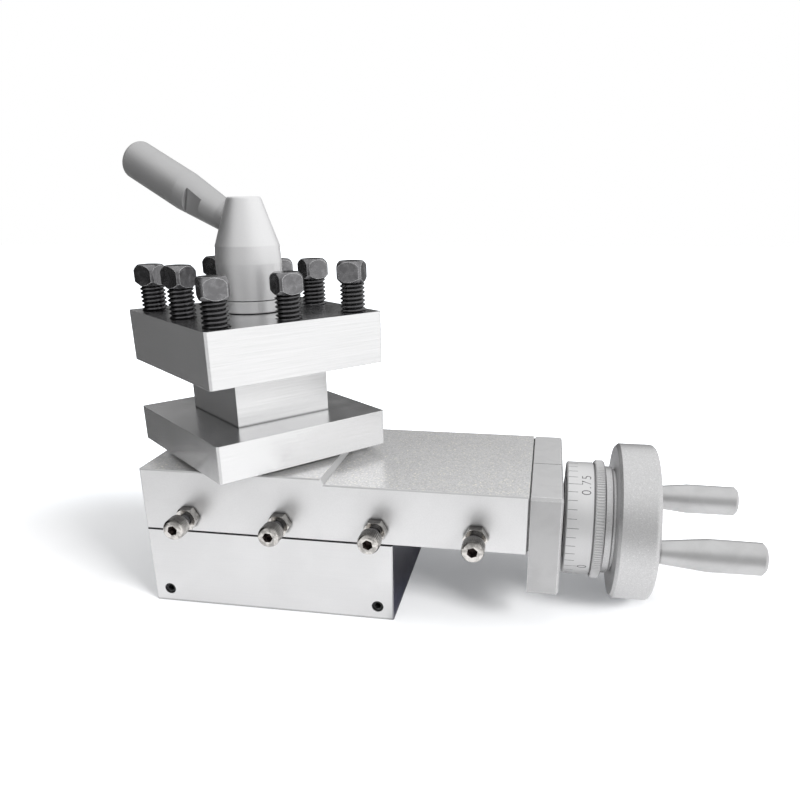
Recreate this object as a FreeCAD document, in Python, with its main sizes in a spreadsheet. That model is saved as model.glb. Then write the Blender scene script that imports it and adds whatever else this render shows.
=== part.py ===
import FreeCAD, Part
import math
import os
import re

import Sketcher

# A lathe's compound slide with a four-way tool turret.
# X runs along the slide towards the handwheel, Y to the back, Z up.
# The origin is at the centre of the base's underside. Millimetres.

SIZES = [
    # base block and its dovetail
    ("base_length", 86.3),
    ("base_width", 62.2),
    ("base_height", 27.8),
    ("seam_gap", 0.4),
    ("dovetail_height", 10),
    ("dovetail_width", 44),
    ("dovetail_angle", 60),
    ("way_clearance", 0.05),
    ("channel_width", 20),
    ("channel_depth", 7),
    ("edge_bevel", 0.4),
    ("mount_hole_radius", 3.3),
    ("mount_head_radius", 5.75),
    ("mount_head_depth", 6.5),
    ("mount_hole_spacing", 40),
    ("mount_hole_shift", 8),
    ("dowel_radius", 3),
    ("dowel_depth", 10),
    ("set_screw_radius", 2),
    ("set_screw_length", 8),
    ("set_screw_recess", 0.6),
    ("set_screw_height", 4.7),
    ("set_screw_inset", 5.5),
    ("set_screw_socket", 2),
    ("set_screw_socket_depth", 2.5),
    # feed nut in the base's channel
    ("feed_nut_length", 18),
    ("feed_nut_inset", 2),
    ("feed_nut_below_top", 1),
    ("nut_screw_radius", 2),
    ("nut_screw_head_radius", 3.5),
    ("nut_screw_head_height", 4),
    ("nut_screw_sink", 5),
    ("nut_screw_grip", 6),
    ("nut_screw_spread", 14),
    # top slide, gib and their fasteners
    ("slide_length", 130),
    ("slide_height", 19.5),
    ("pad_length", 63.05),
    ("pad_height", 1.98),
    ("pad_slope", 1),
    ("end_groove_width", 0.5),
    ("end_groove_depth", 0.8),
    ("seat_height", 1.55),
    ("seat_radius", 13),
    ("gib_thickness", 3),
    ("gib_end_gap", 0.5),
    ("gib_edge_gap", 0.3),
    ("gib_screw_first", 16.3),
    ("gib_screw_pitch", 32.4),
    ("gib_screw_height", 5.35),
    ("gib_screw_reach", 11.9),
    ("gib_screw_radius", 2),
    ("gib_head_radius", 3.6),
    ("gib_head_length", 5.2),
    ("gib_head_bevel", 0.7),
    ("gib_socket", 3),
    ("gib_socket_depth", 2.6),
    ("gib_nut_flats", 7),
    ("gib_nut_height", 3.4),
    ("gib_nut_bevel", 0.5),
    # end plate and screw bush
    ("plate_thickness", 10),
    ("plate_drop", 13.9),
    ("plate_bevel", 0.6),
    ("plate_long_bevel", 0.9),
    ("index_line_width", 0.4),
    ("index_line_depth", 0.3),
    ("plate_screw_radius", 2.5),
    ("plate_screw_head_radius", 4.25),
    ("plate_screw_head_length", 5),
    ("plate_screw_length", 18),
    ("plate_screw_spread", 48),
    ("plate_screw_below_top", 6.9),
    ("plate_screw_sink", 5.4),
    ("plate_socket", 4),
    ("socket_depth", 2.8),
    ("head_clearance", 0.25),
    ("bush_wall", 2),
    ("bush_flange_radius", 9),
    ("bush_flange_thickness", 2),
    ("running_clearance", 0.05),
    # feed screw
    ("screw_rise", 0.13),
    ("screw_radius", 5),
    ("screw_length", 81.85),
    ("screw_tip_bevel", 1),
    ("collar_radius", 7.5),
    ("collar_length", 3),
    ("journal_radius", 6),
    ("wheel_seat_radius", 5),
    ("screw_end_radius", 4),
    ("screw_end_inset", 0.5),
    ("washer_radius", 9),
    ("washer_thickness", 1),
    # dial
    ("dial_gap", 0.4),
    ("dial_radius", 19.6),
    ("dial_length", 9.35),
    ("dial_bevel", 0.4),
    ("dial_groove_width", 0.4),
    ("dial_groove_depth", 0.6),
    ("knurl_radius", 20.5),
    ("knurl_length", 3.15),
    ("knurl_bevel", 0.4),
    ("friction_ring_width", 2),
    ("friction_ring_thickness", 1),
    ("friction_ring_setback", 4),
    ("friction_ring_slit", 2),
    # handwheel
    ("hub_radius", 14),
    ("neck_radius", 18.5),
    ("neck_length", 3.7),
    ("neck_groove", 1),
    ("neck_groove_depth", 1),
    ("neck_bevel", 0.3),
    ("wheel_radius", 26.7),
    ("wheel_thickness", 13.15),
    ("wheel_bevel", 1),
    ("wheel_round", 2),
    ("wheel_recess_radius", 9),
    ("wheel_recess_depth", 6),
    ("key_width", 3),
    ("key_length", 12),
    ("wheel_nut_flats", 13),
    ("wheel_nut_height", 5),
    # grips
    ("grip_circle_radius", 20),
    ("grip_start_angle", 4),
    ("grip_length", 32.2),
    ("grip_root_radius", 3.7),
    ("grip_belly_radius", 5.3),
    ("grip_belly_place", 15),
    ("grip_end_radius", 5.2),
    ("grip_end_bevel", 1),
    ("grip_spigot_radius", 3),
    ("grip_spigot_length", 8),
    # turret block
    ("post_place", 32.2),
    ("post_turn", 49.4),
    ("post_side", 63.2),
    ("post_floor_thickness", 12.2),
    ("post_neck_side", 34.7),
    ("slot_height", 17.4),
    ("post_head_thickness", 17.4),
    ("post_bevel", 0.7),
    ("post_washer_radius", 10.5),
    ("post_washer_thickness", 4.3),
    ("post_washer_bevel", 0.4),
    ("post_washer_foot_bevel", 0.3),
    # stud and lock nut
    ("stud_radius", 5),
    ("stud_foot_gap", 0.4),
    ("stud_top_inset", 1),
    ("stud_bevel", 1),
    ("lock_foot_radius", 10.5),
    ("lock_belly_radius", 11),
    ("lock_belly_height", 11.6),
    ("lock_shoulder_radius", 10.6),
    ("lock_shoulder_height", 17.2),
    ("lock_top_radius", 5.5),
    ("lock_height", 32.4),
    ("lock_top_round", 1),
    ("lock_bore_depth", 18.5),
    # lock lever
    ("lever_cross_height", 22.19),
    ("lever_azimuth", 160),
    ("lever_rise", 25.5),
    ("lever_turn", -10),
    ("lever_reach", 53.6),
    ("lever_root", 5.5),
    ("lever_spigot_start", 1.5),
    ("lever_spigot_radius", 4),
    ("lever_waist_radius", 5.1),
    ("lever_taper_start", 10),
    ("lever_grip_start", 28),
    ("lever_grip_radius", 6.65),
    ("lever_flats_start", 16.6),
    ("lever_flats_end", 23.5),
    ("lever_flats_across", 9.2),
    ("lever_end_round", 1.2),
    # tool screws
    ("tool_screw_offset", 24.7),
    ("tool_screw_radius", 4.2),
    ("tool_screw_length", 24),
    ("tool_screw_tip_bevel", 0.8),
    ("tool_screw_run_out", 1.1),
    ("tool_head_neck_radius", 3.9),
    ("tool_head_blank_radius", 5.45),
    ("tool_head_flats", 8.4),
    ("tool_head_height", 7.1),
    ("tool_head_foot_taper", 1.5),
    ("tool_head_top_radius", 3.9),
    ("tool_head_top_taper", 1.9),
    # how high each tool screw's head stands over the turret
    ("tool_stand_a", 7.8),
    ("tool_stand_b", 7.5),
    ("tool_stand_c", 9.45),
    ("tool_stand_d", 8.85),
    ("tool_stand_e", 7.5),
    ("tool_stand_f", 9.7),
    ("tool_stand_g", 8.3),
    ("tool_stand_h", 9.4),
    # the angle at which each tool screw's head was left, in degrees
    ("tool_turn_a", -12),
    ("tool_turn_b", -3),
    ("tool_turn_c", 39),
    ("tool_turn_d", -3),
    ("tool_turn_e", -4),
    ("tool_turn_f", 24),
    ("tool_turn_g", 28),
    ("tool_turn_h", 21),
]

# Levels and places that follow from the sizes.
PLACES = [
    ("base_right", "base_length / 2"),
    ("base_left", "-base_length / 2"),
    ("half_width", "base_width / 2"),
    ("dovetail_top", "base_height + dovetail_height"),
    ("flank_run", "dovetail_height / tan(dovetail_angle * 1deg)"),
    ("flank_stretch", "1 / sin(dovetail_angle * 1deg)"),
    ("channel_floor", "base_height - channel_depth"),
    ("root_half_width", "dovetail_width / 2 - flank_run"),
    ("slide_left", "base_left"),
    ("slide_right", "slide_left + slide_length"),
    ("slide_bottom", "base_height + seam_gap"),
    ("slide_top", "slide_bottom + slide_height"),
    ("screw_axis_height", "slide_bottom + screw_rise"),
    ("slide_roof", "dovetail_top + way_clearance"),
    ("roof_rise", "(slide_roof - base_height) / tan(dovetail_angle * 1deg)"),
    ("floor_rise", "seam_gap / tan(dovetail_angle * 1deg)"),
    ("pad_top", "slide_top + pad_height"),
    ("seat_top", "pad_top + seat_height"),
    ("gib_screw_level", "slide_bottom + gib_screw_height"),
    ("gib_screw_rise", "(gib_screw_level + gib_screw_radius - base_height) / tan(dovetail_angle * 1deg)"),
    ("gib_back", "way_clearance * flank_stretch"),
    ("gib_face", "(way_clearance + gib_thickness) * flank_stretch"),
    ("plate_outer", "slide_right + plate_thickness"),
    ("plate_bottom", "slide_bottom - plate_drop"),
    ("plate_screw_level", "slide_top - plate_screw_below_top"),
    ("bush_bore", "journal_radius + running_clearance"),
    ("bush_radius", "bush_bore + bush_wall"),
    ("collar_end", "slide_right - bush_flange_thickness - running_clearance"),
    ("screw_tip", "slide_right - screw_length"),
    ("washer_end", "plate_outer + washer_thickness"),
    ("hub_start", "washer_end + running_clearance"),
    ("dial_start", "washer_end + dial_gap"),
    ("knurl_start", "dial_start + dial_length"),
    ("dial_end", "knurl_start + knurl_length"),
    ("neck_start", "dial_end + running_clearance"),
    ("wheel_start", "dial_end + neck_length"),
    ("wheel_end", "wheel_start + wheel_thickness"),
    ("recess_floor", "wheel_end - wheel_recess_depth"),
    ("key_start", "recess_floor - key_length"),
    ("ring_start", "hub_start + friction_ring_setback"),
    ("feed_nut_right", "base_right - feed_nut_inset"),
    ("feed_nut_left", "feed_nut_right - feed_nut_length"),
    ("feed_nut_middle", "(feed_nut_left + feed_nut_right) / 2"),
    ("dowel_back", "-half_width + set_screw_recess + set_screw_length + dowel_radius"),
    ("post_axis", "slide_left + post_place"),
    ("slot_floor", "seat_top + post_floor_thickness"),
    ("slot_roof", "slot_floor + slot_height"),
    ("post_top", "slot_roof + post_head_thickness"),
    ("lock_foot", "post_top + post_washer_thickness"),
    ("lock_start", "lock_foot + running_clearance"),
    ("lock_bore_top", "lock_foot + lock_bore_depth"),
    ("stud_top", "lock_bore_top - stud_top_inset"),
    ("lever_cross", "lock_foot + lever_cross_height"),
]

doc = FreeCAD.newDocument("tool_turret")
sizes = doc.addObject("Spreadsheet::Sheet", "Sizes")
places = doc.addObject("Spreadsheet::Sheet", "Places")
OWNER = {alias: "Sizes." for alias, value in SIZES}
OWNER.update({alias: "Places." for alias, rule in PLACES})
NODES = []


def formula(text):
    """The text with each alias led by the sheet that holds it."""
    return re.sub(r"[a-z_]+", lambda word: OWNER.get(word.group(0), "") + word.group(0), text)


def number(text):
    """The present value of a formula."""
    return float(sizes.evalExpression(formula(text)))


def bind(thing, **rules):
    """Ties properties of a document object to formulas."""
    for name, rule in rules.items():
        thing.setExpression(name.replace("__", "."), formula(rule))


def fill_sheets():
    for row, (alias, value) in enumerate(SIZES, 1):
        sizes.set("A%d" % row, alias.replace("_", " "))
        sizes.set("B%d" % row, str(value))
        sizes.setAlias("B%d" % row, alias)
    doc.recompute()
    for row, (alias, rule) in enumerate(PLACES, 1):
        places.set("A%d" % row, alias.replace("_", " "))
        places.set("B%d" % row, "=" + formula(rule).replace("Places.", ""))
        places.setAlias("B%d" % row, alias)
        doc.recompute()


# Helpers for bodies, sketches and features.
def new_body(label, x="0", y="0", z="0", keep=True):
    body = doc.addObject("PartDesign::Body", "Body_" + label)
    body.Label = label
    bind(body, Placement__Base__x=x, Placement__Base__y=y, Placement__Base__z=z)
    if keep:
        NODES.append(body)
    return body


def new_sketch(body, plane, offset="0"):
    """A sketch on one of the body's own planes, at an offset measured along +X, +Y or +Z."""
    support = next(f for f in body.Origin.OriginFeatures if f.Role == plane + "_Plane")
    sketch = body.newObject("Sketcher::SketchObject", body.Label + "_sketch")
    sketch.AttachmentSupport = (support, [""])
    sketch.MapMode = "FlatFace"
    sign = "-" if plane == "XZ" else ""
    bind(sketch, AttachmentOffset__Base__z="%s(%s)" % (sign, offset))
    return sketch


def fix(sketch, kind, spot, rule):
    """A dimension of the sketch that follows a formula."""
    row = sketch.addConstraint(Sketcher.Constraint(kind, *spot, number(rule)))
    sketch.setExpression("Constraints[%d]" % row, formula(rule))


def polygon(sketch, corners):
    """A closed outline of straight runs, each corner given as two formulas."""
    first = sketch.GeometryCount
    count = len(corners)
    spots = [FreeCAD.Vector(number(a), number(b), 0) for a, b in corners]
    for i in range(count):
        sketch.addGeometry(Part.LineSegment(spots[i], spots[(i + 1) % count]))
    for i in range(count):
        sketch.addConstraint(
            Sketcher.Constraint("Coincident", first + i, 2, first + (i + 1) % count, 1))
    for i, (a, b) in enumerate(corners):
        fix(sketch, "DistanceX", (-1, 1, first + i, 1), a)
        fix(sketch, "DistanceY", (-1, 1, first + i, 1), b)


def rectangle(sketch, left, right, bottom, top):
    polygon(sketch, [(left, bottom), (right, bottom), (right, top), (left, top)])


def square(sketch, side):
    rectangle(sketch, "-(%s) / 2" % side, "(%s) / 2" % side, "-(%s) / 2" % side, "(%s) / 2" % side)


def hexagon(sketch, flats, x="0", y="0"):
    corner = "(%s) / 2 / cos(30deg)" % flats
    polygon(sketch, [("%s + %s * cos(%ddeg)" % (x, corner, k * 60), "%s + %s * sin(%ddeg)" % (y, corner, k * 60))
                     for k in range(6)])


def circle(sketch, x, y, radius):
    row = sketch.addGeometry(Part.Circle(
        FreeCAD.Vector(number(x), number(y), 0), FreeCAD.Vector(0, 0, 1), number(radius)))
    fix(sketch, "DistanceX", (-1, 1, row, 3), x)
    fix(sketch, "DistanceY", (-1, 1, row, 3), y)
    fix(sketch, "Radius", (row,), radius)


def prism(body, kind, plane, low, high, draw):
    """A Pad or Pocket of a drawn outline between two levels along the plane's normal."""
    sketch = new_sketch(body, plane, "((%s) + (%s)) / 2" % (low, high))
    draw(sketch)
    feature = body.newObject("PartDesign::" + kind, body.Label + "_" + kind.lower())
    feature.Profile = sketch
    feature.SideType = "Symmetric"
    bind(feature, Length="(%s) - (%s)" % (high, low))
    doc.recompute()
    return feature


def turned(body, corners, along="H"):
    """A solid of revolution. along H: corners are (x, radius). along V: corners are (radius, z)."""
    sketch = new_sketch(body, "XZ")
    polygon(sketch, corners)
    feature = body.newObject("PartDesign::Revolution", body.Label + "_turned")
    feature.Profile = sketch
    feature.ReferenceAxis = (sketch, [along + "_Axis"])
    feature.Angle = 360
    doc.recompute()
    return feature


def edges_where(feature, test):
    return ["Edge%d" % (i + 1) for i, edge in enumerate(feature.Shape.Edges) if test(edge.BoundBox)]


def dress(body, kind, feature, size, test):
    """A Chamfer or Fillet of the edges whose bounding box passes the test."""
    dressed = body.newObject("PartDesign::" + kind, body.Label + "_" + kind.lower())
    dressed.Base = (feature, edges_where(feature, test))
    bind(dressed, **{"Size" if kind == "Chamfer" else "Radius": size})
    doc.recompute()
    return dressed


def near(a, b):
    return abs(a - b) < 1e-4


def upright(box):
    """An edge that runs along Z only."""
    return near(box.XLength, 0) and near(box.YLength, 0) and box.ZLength > 1e-3


def circle_at(x, radius):
    """A test for a round edge about the X axis at a given place."""
    return lambda box: near(box.XMin, number(x)) and near(box.XMax, number(x)) and near(box.YMax, number(radius))


def group(label, members):
    """Like pieces that share one node as separate solids."""
    compound = doc.addObject("Part::Compound", "Group_" + label)
    compound.Label = label
    compound.Links = members
    NODES.append(compound)


def cap_screw(label, x, y, z, turn_axis, head_radius, head_length, shank_radius, shank_length, socket,
              socket_depth, bevel):
    """A socket head cap screw. Its own Z axis points out of the head, with 0 at the head's seat."""
    body = new_body(label, x, y, z, keep=False)
    body.Placement.Rotation = FreeCAD.Rotation(FreeCAD.Vector(0, 0, 1), turn_axis)
    turned(body, [("0", "-(%s)" % shank_length), (shank_radius, "-(%s)" % shank_length), (shank_radius, "0"),
                  (head_radius, "0"), (head_radius, "%s - %s" % (head_length, bevel)),
                  ("%s - %s" % (head_radius, bevel), head_length), ("0", head_length)], "V")
    prism(body, "Pocket", "XY", "%s - %s" % (head_length, socket_depth), head_length,
          lambda sketch: hexagon(sketch, socket))
    return body


# Base
def flank(side, rise, outset="0"):
    """How far from the middle a dovetail flank is: side is a sign, rise its run above the root."""
    return "%s(root_half_width + %s + %s)" % (side, rise, outset)


def base_block():
    body = new_body("base_block")
    prism(body, "Pad", "YZ", "base_left", "base_right", lambda sketch: polygon(sketch, [
        ("-half_width", "0"), ("half_width", "0"), ("half_width", "base_height"),
        (flank("", "0"), "base_height"), (flank("", "flank_run"), "dovetail_top"),
        (flank("-", "flank_run"), "dovetail_top"), (flank("-", "0"), "base_height"),
        ("-half_width", "base_height")]))
    # the channel that the feed screw runs in
    prism(body, "Pocket", "YZ", "base_left - 1", "base_right + 1", lambda sketch: rectangle(
        sketch, "-channel_width / 2", "channel_width / 2", "channel_floor", "dovetail_top + 1"))
    # two counterbored holes that bolt the base down
    spots = [mount_hole(sign) for sign in "-+"]

    def mount_holes(radius):
        return lambda sketch: [circle(sketch, x, "0", radius) for x in spots]

    prism(body, "Pocket", "XY", "-1", "channel_floor + 1", mount_holes("mount_hole_radius"))
    prism(body, "Pocket", "XY", "channel_floor - mount_head_depth", "channel_floor + 1",
          mount_holes("mount_head_radius"))
    # two dowel sockets in the underside, each reached by a set screw from the front
    prism(body, "Pocket", "XY", "-1", "dowel_depth",
          lambda sketch: [circle(sketch, x, "dowel_back", "dowel_radius") for x in set_screw_spots()])
    prism(body, "Pocket", "XZ", "-half_width - 1", "dowel_back", lambda sketch: [
        circle(sketch, x, "set_screw_height", "set_screw_radius") for x in set_screw_spots()])
    # holes of the two screws that hold the feed nut
    prism(body, "Pocket", "XY", "-1", "channel_floor + 1", lambda sketch: [
        circle(sketch, "feed_nut_middle", y, "nut_screw_radius") for y in nut_screw_spots()])
    last = prism(body, "Pocket", "XY", "-1", "nut_screw_sink", lambda sketch: [
        circle(sketch, "feed_nut_middle", y, "nut_screw_head_radius + head_clearance") for y in nut_screw_spots()])
    dress(body, "Chamfer", last, "edge_bevel", lambda box: upright(box) and near(
        box.ZLength, number("base_height")))


def mount_hole(sign):
    return "-mount_hole_shift %s mount_hole_spacing / 2" % sign


def set_screw_spots():
    return ["base_left + set_screw_inset", "base_right - set_screw_inset"]


def nut_screw_spots():
    return ["-nut_screw_spread / 2", "nut_screw_spread / 2"]


def base_set_screws():
    screws = []
    for i, x in enumerate(set_screw_spots(), 1):
        body = new_body("base_set_screw_%d" % i, x, "-half_width + set_screw_recess", "set_screw_height", False)
        prism(body, "Pad", "XZ", "0", "set_screw_length",
              lambda sketch: circle(sketch, "0", "0", "set_screw_radius"))
        prism(body, "Pocket", "XZ", "-1", "set_screw_socket_depth",
              lambda sketch: hexagon(sketch, "set_screw_socket"))
        screws.append(body)
    group("base_set_screws", screws)


def feed_nut():
    body = new_body("feed_nut")
    prism(body, "Pad", "YZ", "feed_nut_left", "feed_nut_right", lambda sketch: rectangle(
        sketch, "-channel_width / 2", "channel_width / 2", "channel_floor", "dovetail_top - feed_nut_below_top"))
    prism(body, "Pocket", "YZ", "feed_nut_left - 1", "feed_nut_right + 1", lambda sketch: circle(
        sketch, "0", "screw_axis_height", "screw_radius + running_clearance"))
    prism(body, "Pocket", "XY", "channel_floor - 1", "channel_floor + nut_screw_grip", lambda sketch: [
        circle(sketch, "feed_nut_middle", y, "nut_screw_radius") for y in nut_screw_spots()])


def feed_nut_screws():
    screws = []
    for i, y in enumerate(nut_screw_spots(), 1):
        screws.append(cap_screw(
            "feed_nut_screw_%d" % i, "feed_nut_middle", y, "nut_screw_sink", FreeCAD.Vector(0, 0, -1),
            "nut_screw_head_radius", "nut_screw_head_height", "nut_screw_radius",
            "channel_floor - nut_screw_sink + nut_screw_grip - edge_bevel", "gib_socket", "socket_depth",
            "edge_bevel"))
    group("feed_nut_screws", screws)


# Top slide
def top_slide():
    body = new_body("top_slide")
    prism(body, "Pad", "YZ", "slide_left", "slide_right", lambda sketch: rectangle(
        sketch, "-half_width", "half_width", "slide_bottom", "slide_top"))
    # the raised pad, with a sloped step at its right end
    prism(body, "Pad", "XZ", "-half_width", "half_width", lambda sketch: polygon(sketch, [
        ("slide_left", "slide_top - 1"), ("slide_left + pad_length + pad_slope", "slide_top - 1"),
        ("slide_left + pad_length + pad_slope", "slide_top"), ("slide_left + pad_length", "pad_top"),
        ("slide_left", "pad_top")]))
    prism(body, "Pad", "XY", "pad_top - 1", "seat_top",
          lambda sketch: circle(sketch, "post_axis", "0", "seat_radius"))
    # the dovetail, wider at the front by the gib
    prism(body, "Pocket", "YZ", "slide_left - 1", "slide_right + 1", lambda sketch: polygon(sketch, [
        (flank("-", "0", "gib_face"), "base_height"), (flank("", "0", "gib_back"), "base_height"),
        (flank("", "roof_rise", "gib_back"), "slide_roof"), (flank("-", "roof_rise", "gib_face"), "slide_roof")]))
    prism(body, "Pocket", "XY", "slide_roof - 1", "seat_top + 1",
          lambda sketch: circle(sketch, "post_axis", "0", "stud_radius"))
    prism(body, "Pocket", "XZ", "-half_width - 1", "-root_half_width", lambda sketch: [
        circle(sketch, x, "gib_screw_level", "gib_screw_radius") for x in gib_screw_spots()])
    prism(body, "Pocket", "YZ", "plate_outer - plate_screw_sink - plate_screw_length",
          "slide_right + 1", lambda sketch: [
        circle(sketch, y, "plate_screw_level", "plate_screw_radius") for y in plate_screw_spots()])
    last = prism(body, "Pocket", "YZ", "slide_right - end_groove_width", "slide_right + end_groove_width", end_groove)
    dress(body, "Chamfer", last, "edge_bevel", lambda box: near(abs(box.YMin), number("half_width")) and near(
        box.YLength, 0) and box.XMax < number("slide_right") and box.ZMax > number("slide_bottom") + 1e-3)


def end_groove(sketch):
    """The shallow rim cut all round the slide's right end, which shows as a dark line at the end plate."""
    rectangle(sketch, "-half_width - 1", "half_width + 1", "slide_bottom - 1", "slide_top + 1")
    rectangle(sketch, "-half_width + end_groove_depth", "half_width - end_groove_depth",
              "slide_bottom + end_groove_depth", "slide_top - end_groove_depth")


def gib_screw_spots():
    return ["slide_left + gib_screw_first + %d * gib_screw_pitch" % k for k in range(4)]


def plate_screw_spots():
    return ["-plate_screw_spread / 2", "plate_screw_spread / 2"]


def gib_strip():
    body = new_body("gib_strip")
    low = "(seam_gap + gib_edge_gap) / tan(dovetail_angle * 1deg)"
    high = "(slide_roof - gib_edge_gap - base_height) / tan(dovetail_angle * 1deg)"
    prism(body, "Pad", "YZ", "slide_left + gib_end_gap", "slide_right - gib_end_gap",
          lambda sketch: polygon(sketch, [
              (flank("-", low, "gib_face"), "slide_bottom + gib_edge_gap"),
              (flank("-", low, "gib_back"), "slide_bottom + gib_edge_gap"),
              (flank("-", high, "gib_back"), "slide_roof - gib_edge_gap"),
              (flank("-", high, "gib_face"), "slide_roof - gib_edge_gap")]))


def gib_screws():
    screws = []
    for i, x in enumerate(gib_screw_spots(), 1):
        screws.append(cap_screw(
            "gib_screw_%d" % i, x, "-half_width - gib_screw_reach + gib_head_length", "gib_screw_level",
            FreeCAD.Vector(0, -1, 0), "gib_head_radius", "gib_head_length", "gib_screw_radius",
            "half_width + gib_screw_reach - gib_head_length - root_half_width - gib_screw_rise - gib_face",
            "gib_socket", "gib_socket_depth", "gib_head_bevel"))
    group("gib_screws", screws)


def hex_nut(label, flats, height, bore, bevel, x, y, z, turn_axis):
    """A hex nut with both faces bevelled round. Its own Z axis runs through the bore from its seat."""
    body = new_body(label, x, y, z, keep=False)
    body.Placement.Rotation = FreeCAD.Rotation(FreeCAD.Vector(0, 0, 1), turn_axis)
    corner = "%s / 2 / cos(30deg)" % flats
    turned(body, [(bore, "0"), ("%s - %s" % (corner, bevel), "0"), (corner, "%s / 2" % bevel),
                  (corner, "%s - %s / 2" % (height, bevel)), ("%s - %s" % (corner, bevel), height),
                  (bore, height)], "V")
    sketch = new_sketch(body, "XY", "%s / 2" % height)
    circle(sketch, "0", "0", "%s * 2" % corner)
    hexagon(sketch, flats)
    feature = body.newObject("PartDesign::Pocket", label + "_flats")
    feature.Profile = sketch
    feature.SideType = "Symmetric"
    bind(feature, Length="%s * 2" % height)
    doc.recompute()
    return body


def gib_lock_nuts():
    group("gib_lock_nuts", [
        hex_nut("gib_lock_nut_%d" % i, "gib_nut_flats", "gib_nut_height", "gib_screw_radius", "gib_nut_bevel",
                x, "-half_width", "gib_screw_level", FreeCAD.Vector(0, -1, 0))
        for i, x in enumerate(gib_screw_spots(), 1)])


def end_plate():
    body = new_body("end_plate")
    plate = prism(body, "Pad", "YZ", "slide_right", "plate_outer", lambda sketch: rectangle(
        sketch, "-half_width", "half_width", "plate_bottom", "slide_top"))
    plate = dress(body, "Chamfer", plate, "plate_long_bevel", lambda box: near(
        box.XLength, number("plate_thickness")) and near(box.YLength, 0))
    dress(body, "Chamfer", plate, "plate_bevel", lambda box: near(box.XMin, number("plate_outer")))
    # the line that the dial is read against
    prism(body, "Pocket", "YZ", "slide_right - 1", "plate_outer + 1", lambda sketch: rectangle(
        sketch, "-index_line_width / 2", "index_line_width / 2", "slide_top - index_line_depth", "slide_top + 1"))
    prism(body, "Pocket", "YZ", "slide_right - 1", "plate_outer + 1",
          lambda sketch: circle(sketch, "0", "screw_axis_height", "bush_radius"))
    prism(body, "Pocket", "YZ", "slide_right - 1", "plate_outer + 1", lambda sketch: [
        circle(sketch, y, "plate_screw_level", "plate_screw_radius") for y in plate_screw_spots()])
    prism(body, "Pocket", "YZ", "plate_outer - plate_screw_sink", "plate_outer + 1", lambda sketch: [
        circle(sketch, y, "plate_screw_level", "plate_screw_head_radius + head_clearance")
        for y in plate_screw_spots()])


def end_plate_screws():
    group("end_plate_screws", [
        cap_screw("end_plate_screw_%d" % i, "plate_outer - plate_screw_sink", y, "plate_screw_level",
                  FreeCAD.Vector(1, 0, 0), "plate_screw_head_radius", "plate_screw_head_length",
                  "plate_screw_radius", "plate_screw_length", "plate_socket", "socket_depth", "edge_bevel")
        for i, y in enumerate(plate_screw_spots(), 1)])


def screw_bush():
    body = new_body("screw_bush", z="screw_axis_height")
    turned(body, [("slide_right - bush_flange_thickness", "bush_bore"),
                  ("slide_right - bush_flange_thickness", "bush_flange_radius"),
                  ("slide_right", "bush_flange_radius"), ("slide_right", "bush_radius"),
                  ("plate_outer", "bush_radius"), ("plate_outer", "bush_bore")])


def thrust_washer():
    body = new_body("thrust_washer", z="screw_axis_height")
    turned(body, [("plate_outer", "bush_bore"), ("plate_outer", "washer_radius"),
                  ("washer_end", "washer_radius"), ("washer_end", "bush_bore")])


def post_stud():
    body = new_body("post_stud", x="post_axis")
    turned(body, [("0", "slide_roof + stud_foot_gap"), ("stud_radius", "slide_roof + stud_foot_gap"),
                  ("stud_radius", "stud_top - stud_bevel"), ("stud_radius - stud_bevel", "stud_top"),
                  ("0", "stud_top")], "V")


# Feed screw and handwheel, each turned about the screw's axis
def feed_screw():
    body = new_body("feed_screw", z="screw_axis_height")
    turned(body, [("screw_tip", "0"), ("screw_tip", "screw_radius - screw_tip_bevel"),
                  ("screw_tip + screw_tip_bevel", "screw_radius"), ("collar_end - collar_length", "screw_radius"),
                  ("collar_end - collar_length", "collar_radius"), ("collar_end", "collar_radius"),
                  ("collar_end", "journal_radius"), ("hub_start", "journal_radius"),
                  ("hub_start", "wheel_seat_radius"), ("recess_floor", "wheel_seat_radius"),
                  ("recess_floor", "screw_end_radius"), ("wheel_end - screw_end_inset", "screw_end_radius"),
                  ("wheel_end - screw_end_inset", "0")])
    prism(body, "Pocket", "YZ", "key_start", "recess_floor", lambda sketch: rectangle(
        sketch, "-key_width / 2", "key_width / 2", "wheel_seat_radius - key_width / 2", "wheel_seat_radius + 1"))


def wheel_key():
    body = new_body("wheel_key", z="screw_axis_height")
    prism(body, "Pad", "YZ", "key_start", "recess_floor", lambda sketch: rectangle(
        sketch, "-key_width / 2", "key_width / 2", "wheel_seat_radius - key_width / 2",
        "wheel_seat_radius + key_width / 2"))


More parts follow.
